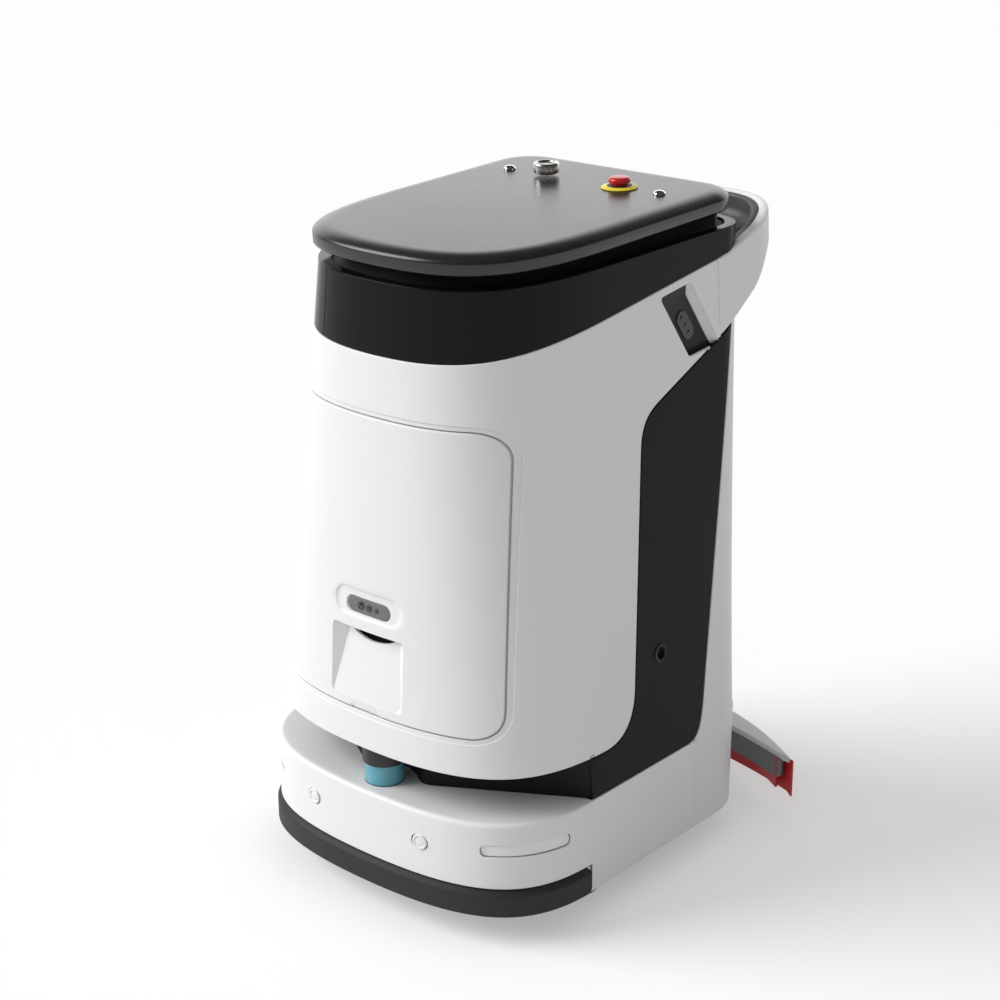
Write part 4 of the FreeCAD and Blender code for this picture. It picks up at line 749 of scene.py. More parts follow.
def shell_loop():
    """Outline of the front shell, with the notches open at the arms' lower edges."""
    front_top, rear_top, mouth_rear, mouth_front, front_low = eye_corners()
    edge = shell_curve()
    notch = bent([mouth_front, front_low, front_top, rear_top, mouth_rear], [5.0, 7.0, 3.0])
    seam = trace(edge[-1], [(ARM_SEAM - FINE_SEAM / 2, rim_z(ARM_SEAM))])
    right = side_run(tower, np.concatenate([
        edge[edge[:, 0] < mouth_front[0] - 1], notch, edge[edge[:, 0] > mouth_rear[0] + 1], seam[1:]]))
    top = slope_line(tower, rim_z, right[-1, 0], -right[-1, 0])
    foot = trace((-right[0, 0], SHELL_FOOT), [(right[0, 0], SHELL_FOOT)])
    return np.concatenate([foot[:-1], right[:-1], top[:-1], left_of(right)[:-1]])


def hatch_loop(inset):
    """Outline of the hatch: tapered, with round corners."""
    low, top = HATCH_LOW + inset, HATCH_TOP - inset
    wide, narrow = HATCH_LOW_HALF - inset, HATCH_TOP_HALF - inset
    bend = HATCH_CORNER - inset
    slant = (wide - narrow) / (top - low)

    def at(z):
        return wide - slant * (z - low)

    right = trace((0, low), [
        (wide - bend, low), ((wide - bend / 3, low), (wide, low + bend / 3), (at(low + bend), low + bend)),
        (at(top - bend), top - bend),
        ((at(top - bend / 3), top - bend / 3), (narrow - bend / 3, top), (narrow - bend, top)), (0, top)])
    runs = on_front(right)
    runs[0, 0] = runs[-1, 0] = 0.0
    return np.concatenate([runs[:-1], left_of(runs)[:-1]])


def on_front(path):
    """Runs of a path of (x, z) points on the tower's front."""
    path = np.asarray(path, float)
    return points(np.sign(path[:, 0]) * tower.run_at(0, np.abs(path[:, 0]), path[:, 1]), path[:, 1])


def pill_distance(x, z, half, tall):
    """Distance from a stadium shape about the origin, negative inside."""
    beyond = np.maximum(np.abs(x) - (half - tall), 0.0)
    return np.hypot(beyond, z) - tall


def ramp(value, width):
    """0 below zero, 1 above a width, straight between them."""
    return np.clip(value / width, 0.0, 1.0)


def scoop_floor(z):
    return SCOOP_LIP + (SCOOP_DEPTH - SCOOP_LIP) * (z - SCOOP_LOW) / (SCOOP_TOP - SCOOP_LOW)


def hatch_place(run, z, inset):
    """The hatch's face with the camera's frame and its well, the scoop and the finger tab pressed into it."""
    flat = tower.place(run, z, inset)
    x = flat[..., 0]
    pressed = ramp(-pill_distance(x, z - FRAME_Z, FRAME_HALF, FRAME_TALL), FRAME_BEVEL)
    pressed = pressed * pressed * (3.0 - 2.0 * pressed) * FRAME_DEPTH
    well = CAMERA_HALF + WELL_GROW, CAMERA_TALL / 2 + WELL_GROW
    pressed += ramp(-pill_distance(x, z - CAMERA_Z, *well), WELL_BEVEL) * WELL_DEPTH
    from_side, from_end = SCOOP_HALF - np.abs(x), np.minimum(SCOOP_TOP - z, z - SCOOP_LOW)
    corner = SCOOP_CORNER - np.hypot(
        np.maximum(SCOOP_CORNER - from_side, 0.0), np.maximum(SCOOP_CORNER - from_end, 0.0))
    walls = np.minimum(np.minimum(SCOOP_SIDE * from_side, SCOOP_STEEP * from_end), SCOOP_STEEP * corner)
    scoop = np.clip(np.minimum(scoop_floor(z), walls), 0.0, None)
    tab = ramp(TAB_HALF - np.abs(x), 1.0) * ramp(HATCH_LOW + TAB_TALL - z, 1.2) * TAB_DEPTH
    flat[..., 1] += np.maximum(pressed, scoop) + tab
    return flat


def hatch_guides():
    """Edges and creases of what is pressed into the hatch."""
    outer = [(-SCOOP_HALF, SCOOP_LOW), (SCOOP_HALF, SCOOP_LOW),
             (SCOOP_HALF, SCOOP_TOP), (-SCOOP_HALF, SCOOP_TOP)]
    low = SCOOP_LOW + SCOOP_LIP / SCOOP_STEEP
    top = SCOOP_TOP - SCOOP_DEPTH / SCOOP_STEEP
    wide, narrow = [SCOOP_HALF - scoop_floor(z) / SCOOP_SIDE for z in (low, top)]
    crease = [(-wide, low), (wide, low), (narrow, top), (-narrow, top)]
    tab_low, tab_top = HATCH_LOW + TAB_TALL / 2, HATCH_LOW + TAB_TALL
    tab = [(-TAB_HALF, tab_low), (TAB_HALF, tab_low), (TAB_HALF, tab_top), (-TAB_HALF, tab_top)]
    paths = [rounded(outer, SCOOP_CORNER, 2.0), rounded(crease, 0.3, 3.0), rounded(tab, 0.4, 3.0)]
    soft = (0.0, 0.3 * FRAME_BEVEL, 0.7 * FRAME_BEVEL, FRAME_BEVEL)
    well = CAMERA_HALF + WELL_GROW, CAMERA_TALL / 2 + WELL_GROW
    for z, (half, tall), steps in ((FRAME_Z, (FRAME_HALF, FRAME_TALL), soft), (CAMERA_Z, well, (0.0, WELL_BEVEL))):
        paths += [stadium((0.0, z), 2 * (half - grow), 2 * (tall - grow)) for grow in steps]
    return [on_front(path) for path in paths]


def slit_loop():
    """Lens-shaped slit under the scoop's roof."""
    pull = SLIT_LOW - (SLIT_END - SLIT_LOW) / 3
    return on_front(trace((-SLIT_HALF, SLIT_END), [
        ((-SLIT_HALF / 2, pull), (SLIT_HALF / 2, pull), (SLIT_HALF, SLIT_END)),
        (SLIT_HALF, SLIT_TOP), (-SLIT_HALF, SLIT_TOP), (-SLIT_HALF, SLIT_END)], 2.0)[:-1])


def sunk(cover, depth):
    """A cover's own places, deeper by so much."""
    return lambda run, z, inset: cover.place(run, z, inset + depth)


class ROBOT_OT_front_covers(RobotOperator, bpy.types.Operator):
    """Make the white front shell and the hatch with its camera and scoop"""

    bl_idname = "robot.front_covers"
    bl_label = "Front shell and hatch"

    def execute(self, context):
        outline = shell_loop()
        seam = np.abs(outline[:, 0]).max() - SEAM

        def edges(path):
            return np.where(np.abs(path[:, 0]) > seam, FINE_EDGE, self.edge())

        shape = skin(tower.place, [outline, hatch_loop(-HATCH_RING)], [edges, HATCH_RIM], WALL)
        piece("shell_cover", shape, finish("white"), "chassis", ["front_shell"])
        shape = skin(sunk(tower, RING_SUNK), [hatch_loop(-HATCH_RING), hatch_loop(0)], [0.1, 1.0],
                     WALL - RING_SUNK, step=4.0)
        piece("hatch_ring", shape, finish("white"), "chassis")
        shape = skin(sunk(tower, HATCH_SEAT), [hatch_loop(-3.0), hatch_loop(6.0)], 0.3, 1.6, step=5.0)
        piece("hatch_seat", shape, finish("white"), "chassis")
        shape = skin(hatch_place, [hatch_loop(HATCH_GAP), slit_loop()], [self.edge("hatch_edge"), 0.7], WALL,
                     guides=hatch_guides())
        piece("hatch_cover", shape, finish("white"), "hatch_body", ["hatch_panel"], sharp=38)
        back = rounded([(-SLIT_HALF - 8, SLIT_LOW - 8), (SLIT_HALF + 8, SLIT_LOW - 8),
                        (SLIT_HALF + 8, SLIT_TOP + 6), (-SLIT_HALF - 8, SLIT_TOP + 6)], 4.0)
        shape = skin(sunk(tower, SLIT_BACK), [on_front(back)], 0.5, 2.0, step=5.0)
        piece("slit_back", shape, finish("neck"), "hatch_body")
        self.camera()
        covered("hatch_arms", finish("steel"))
        covered("hatch_hinge", finish("steel"))
        return {"FINISHED"}

    def camera(self):
        """Window with three lenses in the hatch's frame."""
        depth = FRAME_DEPTH + 1.0
        window = on_front(stadium((0.0, CAMERA_Z), 2 * CAMERA_HALF, CAMERA_TALL))
        shape = skin(sunk(tower, depth), [window], 1.2, 4.0, step=4.0)
        piece("camera_window", shape, finish("window"), "hatch_body", ["front_camera"])
        for k, (x, size) in enumerate(((-13.0, 6.4), (1.5, 5.2), (15.5, 3.2))):
            spot = tower.place(on_front([(x, CAMERA_Z)])[0, 0], np.array(CAMERA_Z), np.array(depth))
            lens = lathe([(0, 1.3), (size * 0.3, 1.1), (size * 0.5, 0.6), (size * 0.62, 0.3), (size * 0.7, 0.9),
                          (size * 0.95, 0.8), (size, 0.2), (size, -0.6)], 40)
            lens.move(facing(spot, (0.0, -1.0, 0.0)))
            piece(f"camera_lens_{k + 1}", lens, finish("lens"), "hatch_body", sharp=40)


class ROBOT_OT_side_covers(RobotOperator, bpy.types.Operator):
    """Make the black side panels, their sockets and the white rear cover"""

    bl_idname = "robot.side_covers"
    bl_label = "Side panels and rear cover"

    def execute(self, context):
        edge = self.edge()
        panel = skin(sunk(tower, PANEL_SUNK), [self.panel_loop(), self.socket_loop()], edge, WALL - PANEL_SUNK)
        piece("side_panel_cover_right", panel, finish("black"), "chassis", ["side_panel_right"])
        piece("side_panel_cover_left", mirrored(panel), finish("black"), "chassis", ["side_panel_left"])
        shape = skin(rear_wall.place, [self.rear_loop()], edge, WALL)
        piece("rear_wall_cover", shape, finish("white"), "chassis", ["rear_pillar", "rear_cover"])
        for way, name in SIDES:
            self.socket(way, name)
        self.hood()
        return {"FINISHED"}

    def pillar_line(self, z):
        return PANEL_KNEE[0] + PANEL_LEAN * (z - PANEL_KNEE[1])

    def panel_loop(self):
        low = SIDE_TOP + SEAM
        heel = trace((SEAM_FRONT + SEAM / 2, low), [
            (PANEL_HEEL, low),
            ((PANEL_HEEL + 28, low), (PANEL_KNEE[0] - 8, PANEL_KNEE[1] - 46), PANEL_KNEE)])
        upper = np.concatenate([shell_curve(), handle_low_curve()]) + np.array([SEAM, -SEAM])
        upper = upper[upper[:, 0] < self.pillar_line(upper[:, 1]) - 1.0]
        front = trace(upper[0], [(SEAM_FRONT + SEAM / 2, upper[0, 1]), (SEAM_FRONT + SEAM / 2, low)])
        rear = trace(PANEL_KNEE, [(self.pillar_line(upper[-1, 1]), upper[-1, 1])])
        path = np.concatenate([heel[:-1], rear, upper[::-1], front[1:-1]])
        return side_run(tower, path)

    def socket_loop(self):
        turn = np.radians(np.arange(0, 360, 9))
        ring = points(SOCKET_Y + SOCKET / 2 * np.cos(turn), SOCKET_Z + SOCKET / 2 * np.sin(turn))
        return side_run(tower, ring)

    def rear_loop(self):
        """Right half from the slot of the lift, up along the panel and the handle, and its mirror image."""
        slot_run = rear_wall.total - LIFT_SLOT
        low = SIDE_TOP + 0.4
        side = trace((SEAM_REAR + SEAM / 2, BASE_FOOT), [
            (SEAM_REAR + SEAM / 2, low), (PANEL_HEEL + SEAM, low),
            ((PANEL_HEEL + 28 + SEAM, low), (PANEL_KNEE[0] - 8 + SEAM, PANEL_KNEE[1] - 46),
             (PANEL_KNEE[0] + SEAM, PANEL_KNEE[1]))])
        under = handle_low_curve() + np.array([0.0, -SEAM])
        under = under[(under[:, 0] > self.pillar_line(under[:, 1]) + SEAM) & (under[:, 0] < HANDLE_CLEAR)]
        up = trace(side[-1], [(self.pillar_line(under[0, 1]) + SEAM, under[0, 1])])
        rise = trace(under[-1], [(HANDLE_CLEAR, rim_z(HANDLE_CLEAR))])
        path = side_run(rear_wall, np.concatenate([side[:-1], up[:-1], under[:-1], rise]))
        foot = trace((slot_run, LIFT_SLOT_TOP), [(slot_run, BASE_FOOT), tuple(path[0])])
        right = np.concatenate([foot[:-1], path])
        back = slope_line(rear_wall, rim_z, right[-1, 0], 2 * rear_wall.total - right[-1, 0])
        slot = trace((2 * rear_wall.total - slot_run, LIFT_SLOT_TOP), [(slot_run, LIFT_SLOT_TOP)])
        return np.concatenate([right[:-1], back[:-1], round_back(right, rear_wall)[:-1], slot[:-1]])

    def socket(self, way, name):
        """Sunk ring of the charging socket."""
        half = tower_form(SOCKET_Z)["half"] + tower_form(SOCKET_Z)["flare"] * 0.4
        r = SOCKET / 2
        ring = lathe([(r + 5.2, -2.0), (r + 5.2, 0.4), (r + 4.4, 1.2), (r + 1.4, 1.2), (r + 0.2, 0.4),
                      (r - 0.4, -7.0), (0.0, -7.0)], 48)
        ring.move(facing((way * half, SOCKET_Y, SOCKET_Z), (way, 0.0, 0.08)))
        piece("charge_socket_" + name, ring, finish("dark"), "chassis", sharp=35)

    def hood(self):
        """Rounded ledge over the drain on the rear wall."""
        reach = rear_wall.total - rear_wall.run_at(1, BACK_Y - 12.0, np.array(HOOD_LOW))
        runs = np.linspace(rear_wall.total - reach, rear_wall.total + reach, 120)
        turn = np.linspace(0, math.pi / 2, 7)
        outer = [(-HOOD_PROUD + 13 * (1 - math.cos(a)), HOOD_TOP - 20 + 20 * math.sin(a)) for a in turn]
        lower = [(-HOOD_PROUD + 8 * (1 - math.sin(a)), HOOD_LOW + 8 * (1 - math.cos(a))) for a in turn]
        shape = band(rear_wall.place, runs, [(0.5, HOOD_LOW)] + lower + outer + [(0.5, HOOD_TOP)])
        piece("drain_hood", shape, finish("white"), "chassis", sharp=60)


# Top

class ROBOT_OT_top(RobotOperator, bpy.types.Operator):
    """Make the polished bezel with its glass, the recessed frame and the lid with its controls"""

    bl_idname = "robot.top"
    bl_label = "Bezel, lid and controls"

    def execute(self, context):
        self.bezel()
        self.lid()
        self.controls()
        covered("top_frame", finish("neck"))
        return {"FINISHED"}

    def bezel(self):
        """Band with the glass in its front, and a flat rim along its top."""
        place = sunk(tower, BEZEL_INSET)
        edge = float(tower.run_at(0, GLASS_HALF, np.array((RIM_FRONT + TOP_Z) / 2)))
        for name, node, start, end, look in (
                ("bezel_band", "bezel", edge + 0.04, 2 * tower.total - edge - SEAM, "gloss"),
                ("display_front", "display_glass", -edge, edge, "glass")):
            low = slope_line(tower, lambda y: rim_z(y) + SEAM, start, end)
            high = slope_line(tower, top_z, start, end)
            side = trace(low[-1], [tuple(high[-1])])
            other = trace(high[0], [tuple(low[0])])
            loop = np.concatenate([low[:-1], side[:-1], high[::-1][:-1], other[:-1]])

            def edges(path):
                return np.where(np.abs(path[:, 0] - edge) < 0.2, 0.05, 0.7)

            piece(name, skin(place, [loop], [edges], BEZEL_WALL), finish(look), "chassis", [node])

        runs = np.linspace(-tower.total, tower.total, 360, endpoint=False)
        outer = BEZEL_INSET + 0.2
        profile = [(outer, -RIM_THICK), (outer, -0.7), (BEZEL_INSET + 0.9, 0.0), (RIM_WIDE - 0.8, 0.0),
                   (RIM_WIDE, -0.8), (RIM_WIDE, -RIM_THICK), (outer, -RIM_THICK)]
        rim = Shape()
        rim.grid([tower.place(runs, TOP_Z + rise, inset) for inset, rise in profile], closed=True)
        rim.move(TILT)
        piece("bezel_rim", rim, finish("gloss"), "chassis", sharp=40)

    def lid(self):
        runs = np.linspace(-lid_wall.total, lid_wall.total, 420, endpoint=False)
        turn = np.linspace(0, math.pi / 2, 17)
        profile = [(LID_CROWN, LID_LOW), (2.2, LID_LOW), (1.9, LID_LOW + 0.1), (0.5, LID_LOW + 1.9),
                   (0.1, LID_LOW + 2.4)]
        crown = LID_THICK - LID_EDGE
        profile += [(LID_CROWN * (1 - math.cos(a)), LID_LOW + LID_EDGE + crown * math.sin(a)) for a in turn]
        shape = band(lid_wall.place, runs, profile, closed=True)
        shape.move(TILT)
        piece("lid_cover", shape, finish("charcoal"), "lid_body", ["lid"])

    def controls(self):
        top = LID_LOW + LID_THICK
        ring, head, knob, bolt = STOP_RING / 2, STOP_HEAD / 2, POWER_DIAMETER / 2, BOLT_DIAMETER / 2
        parts = [
            ("stop_collar", "stop_ring", STOP_X, "yellow",
             [(head - 4, 0.2), (ring - 0.6, 0.2), (ring, 0.8), (ring, 1.6), (ring - 0.8, 2.2),
              (head + 3.4, 3.2), (head + 2.8, 3.5), (head + 0.2, 3.5), (head - 0.6, 3.0), (head - 4, 3.0)]),
            ("stop_mushroom", "stop_head", STOP_X, "red",
             [(0, 4.3), (head - 5, 4.3), (head - 5, 7.9), (head - 3.4, 8.0), (head - 0.8, 8.3), (head - 0.1, 9.0),
              (head, 10.4), (head - 0.3, 12.4), (head - 1.2, 13.9), (head - 2.8, 14.9), (head - 5, 15.4),
              (head - 8, 15.6), (0, 15.7)]),
            ("stop_seat", None, STOP_X, "dark",
             [(head - 4, 3.2), (head + 2.0, 3.2), (head + 1.8, 3.9), (head - 0.6, 3.9), (head - 4, 3.6)]),
            ("power_knob", "power_button", POWER_X, "steel",
             [(0, 3.2), (knob - 4, 3.2), (knob - 4, 4.2), (knob - 0.8, 4.6), (knob, 5.4),
              (knob, POWER_HEIGHT - 2.6), (knob - 0.5, POWER_HEIGHT - 1.4),
              (knob - 1.6, POWER_HEIGHT - 0.3), (knob - 2.6, POWER_HEIGHT),
              (knob - 4.2, POWER_HEIGHT), (knob - 5.0, POWER_HEIGHT - 0.5), (knob - 6.2, POWER_HEIGHT - 2.2),
              (knob - 9, POWER_HEIGHT - 3.0), (0, POWER_HEIGHT - 3.2)]),
        ]
        for name, node, x, look, profile in parts:
            shape = lathe(profile, 72)
            shape.move(TILT @ Matrix.Translation((x, CONTROL_ROW, top)))
            body, nodes = (BODY_OF[node], [node]) if node else ("lid_body", [])
            piece(name, shape, finish(look), body, nodes, sharp=32)
        for way, name in SIDES:
            shape = lathe([(0, 0.2), (bolt, 0.2), (bolt, 1.4), (bolt - 0.5, 2.4), (bolt - 1.6, 3.6),
                           (bolt - 3.4, 4.8), (bolt - 5.6, 5.6), (0, 6.0)], 48)
            shape.move(TILT @ Matrix.Translation((way * BOLT_X, CONTROL_ROW, top)))
            piece("bolt_" + name, shape, finish("chrome"), "lid_body", ["lid_bolt_" + name], sharp=50)


class ROBOT_OT_handle(RobotOperator, bpy.types.Operator):
    """Make the handle loop and its dark liner"""

    bl_idname = "robot.handle"
    bl_label = "Handle"

    def execute(self, context):
        low, top = side_run(grip, handle_low_curve()), side_run(grip, handle_top_curve())
        near = low[:, 0].min() + FINE_SEAM

        def edges(path):
            away = np.minimum(path[:, 0], 2 * grip.total - path[:, 0])
            return np.where(away < near, FINE_EDGE, HANDLE_EDGE)

        shape = skin(grip.place, [self.loop(low, top)], [edges], HANDLE_WALL, step=6.0)
        piece("handle_cover", shape, finish("white"), "chassis", ["handle"])
        clear = grip.run_at(1, HANDLE_CLEAR - 4.0, np.array(HANDLE_FOOT))
        inner_low = low[low[:, 0] > clear] + np.array([0.0, LINER_SUNK])
        inner_top = top[top[:, 0] > clear] - np.array([0.0, LINER_SUNK])
        shape = skin(sunk(grip, HANDLE_WALL - 0.5), [self.loop(inner_low, inner_top)], 2.5, LINER_WALL, step=6.0)
        piece("handle_inside", shape, finish("liner"), "chassis", ["handle_liner"])
        self.lip(inner_low)
        return {"FINISHED"}

    def lip(self, low):
        """Hollow curve from the liner's wall to a narrow ledge along its lower edge."""
        over = points(2 * grip.total - low[:, 0], low[:, 1])[::-1]
        path = np.concatenate([low, trace(low[-1], [tuple(over[0])])[1:-1], over])
        turn = np.linspace(0, math.pi / 2, 9)
        wall = HANDLE_WALL + LINER_WALL - 1.0
        inner = [(wall + LIP_WIDE * (1 - math.cos(a)), LIP_TALL * (1 - math.sin(a)) + LIP_THICK)
                 for a in turn]
        profile = [(wall, 0.0)] + inner + [(wall + LIP_WIDE, 0.0), (wall, 0.0)]
        shape = Shape()
        shape.grid([grip.place(path[:, 0], path[:, 1] + rise, inset) for inset, rise in profile])
        piece("handle_lip", shape, finish("liner"), "chassis", sharp=40)

    def loop(self, low, top):
        rear = trace(low[-1], [(grip.total, low[-1, 1])])
        crest = trace((grip.total, top[-1, 1]), [tuple(top[-1])])
        side = trace(top[0], [tuple(low[0])])
        right = np.concatenate([low[:-1], rear])
        upper = np.concatenate([crest[:-1], top[::-1]])
        across = round_back(right, grip)
        over = points(2 * grip.total - upper[:, 0], upper[:, 1])[::-1]
        other = trace(across[-1], [tuple(over[0])])
        return np.concatenate([right[:-1], across[:-1], other[:-1], over[:-1], upper[:-1], side[:-1]])


# Base

def base_place(run, rise, inset):
    """The base's front wall, its rounded upper edge and the deck in one sheet; rise is the height along it.
    The rounding gets small towards the side covers."""
    run, rise, inset = [np.asarray(v, float) for v in np.broadcast_arrays(run, rise, inset)]
    share = np.clip((base.lengths[0] - np.abs(run)) / DECK_FADE, 0.0, 1.0)
    size = DECK_ROUND_END + (DECK_ROUND - DECK_ROUND_END) * share * share * (3.0 - 2.0 * share)
    straight = DECK_Z - size
    bend = np.clip((rise - straight) / size, 0.0, math.pi / 2)
    past = np.maximum(rise - straight - size * math.pi / 2, 0.0)
    z = np.minimum(rise, straight) + (size - inset) * np.sin(bend)
    return base.place(run, z, size - (size - inset) * np.cos(bend) + past)


class ROBOT_OT_base(RobotOperator, bpy.types.Operator):
    """Make the base covers, the deck, the bumper, the distance sensors and the lights"""

    bl_idname = "robot.base"
    bl_label = "Base"

    def execute(self, context):
        edge = self.edge()
        end = base.lengths[0] - FINE_SEAM / 2
        rim = DECK_Z + DECK_ROUND * (math.pi / 2 - 1) + DECK_REACH

        def edges(path):
            return np.where(np.abs(path[:, 0]) > end - 0.2, FINE_EDGE, edge)

        loop = trace((-end, STEP_Z), [(end, STEP_Z), (end, rim), (-end, rim), (-end, STEP_Z)])[:-1]
        holes = [self.light_loop(way, 0.4) for way, _ in SIDES] + [self.sonar_loop(way) for way, _ in SIDES]
        bends = DECK_Z - DECK_ROUND + DECK_ROUND * math.pi / 2 * np.linspace(0.0, 1.0, 9)
        shape = skin(base_place, [loop] + holes, [edges, 1.0, 1.0, FINE_EDGE, FINE_EDGE], WALL, rows=list(bends))
        piece("base_front_wall", shape, finish("white"), "chassis", ["base_front_cover"])
        self.skirt(end)
        self.bumper()
        ahead, behind = [float(base.run_at(1, y, np.array(DECK_Z)))
                         for y in (SEAM_FRONT + FINE_SEAM / 2, SEAM_REAR - FINE_SEAM / 2)]
        side = trace((ahead, BASE_FOOT), [
            (behind, BASE_FOOT), (behind, SIDE_TOP), (ahead, SIDE_TOP), (ahead, BASE_FOOT)])

        def side_edges(path):
            return np.where((path[:, 0] < ahead + 0.2) | (path[:, 0] > behind - 0.2), FINE_EDGE, edge)

        shape = skin(base.place, [side[:-1]], [side_edges], WALL)
        piece("base_side_wall_right", shape, finish("white"), "chassis", ["base_side_cover_right"])
        piece("base_side_wall_left", mirrored(shape), finish("white"), "chassis", ["base_side_cover_left"])
        for way, name in SIDES:
            shape = skin(sunk(base, LIGHT_SUNK), [self.light_loop(way, -0.4)], 0.9, WALL - LIGHT_SUNK, step=4.0)
            piece("light_" + name, shape, finish("diffuser"), "chassis", ["light_strip_" + name])
            self.sonar(way, name)
        return {"FINISHED"}

    def light_loop(self, way, grow):
        middle = way * float(base.run_at(0, LIGHT_X, np.array(LIGHT_Z)))
        return stadium((middle, LIGHT_Z), LIGHT_LENGTH + 2 * grow, LIGHT_TALL + 2 * grow)

    def sonar_loop(self, way):
        middle = way * float(base.run_at(0, SONAR_X, np.array(SONAR_Z)))
        turn = np.radians(np.arange(0, 360, 6))
        r = SONAR_DIAMETER / 2 + 0.1
        return points(middle + r * np.cos(turn), SONAR_Z + r * np.sin(turn))

    def sonar(self, way, name):
        middle = float(base.run_at(0, SONAR_X, np.array(SONAR_Z)))
        spot, ahead = base.place(np.array([middle, middle + 1.0]), np.array([SONAR_Z] * 2))
        outward = np.array([ahead[1] - spot[1], -(ahead[0] - spot[0]), 0.0]) * np.array([way, 1.0, 1.0])
        r = SONAR_DIAMETER / 2
        disc = lathe([(r, -6), (r, 0.7), (r - 0.4, 1.3), (r - 1.2, 1.6), (r - 2.8, 1.6), (r - 3.6, 1.2),
                      (r - 4.2, 0.4), (r - 4.8, 0.3), (r - 5.4, 0.8), (r - 7.0, 1.0), (0, 1.1)], 64)
        disc.move(facing(spot * np.array([way, 1.0, 1.0]), outward))
        piece("sonar_disc_" + name, disc, finish("white"), "chassis", ["sonar_" + name], sharp=50)

    def skirt(self, end):
        """Dark wall behind the bumper."""
        runs = np.linspace(-end, end, 240)
        face = BUMPER_BACK + SKIRT_ROOM
        back = face + WALL
        shape = band(base.place, runs, [(face, BASE_FOOT), (face, STEP_Z), (back, STEP_Z), (back, BASE_FOOT)])
        piece("base_skirt", shape, finish("dark"), "chassis", sharp=40)

    def bumper(self):
        def place(run, z, inset):
            lean = np.clip((z - (BUMPER_TOP - BUMPER_LIP)) / BUMPER_LIP, 0.0, 1.0)
            return base.place(run, z, inset - BUMPER_PROUD + lean * BUMPER_PROUD * BUMPER_LEAN)

        end = float(base.run_at(1, SEAM_FRONT - BUMPER_ROOM, np.array(BUMPER_LOW)))
        corners = [(-end, BUMPER_LOW), (end, BUMPER_LOW), (end, BUMPER_TOP), (-end, BUMPER_TOP)]
        loop = rounded(corners, BUMPER_CORNER, 3.0)
        crease = BUMPER_TOP - BUMPER_LIP
        shape = skin(place, [loop], BUMPER_EDGE, BUMPER_PROUD + BUMPER_BACK, rows=[crease - 0.6, crease + 0.6])
        piece("bumper_strip", shape, finish("rubber"), "bumper_body", ["bumper"])


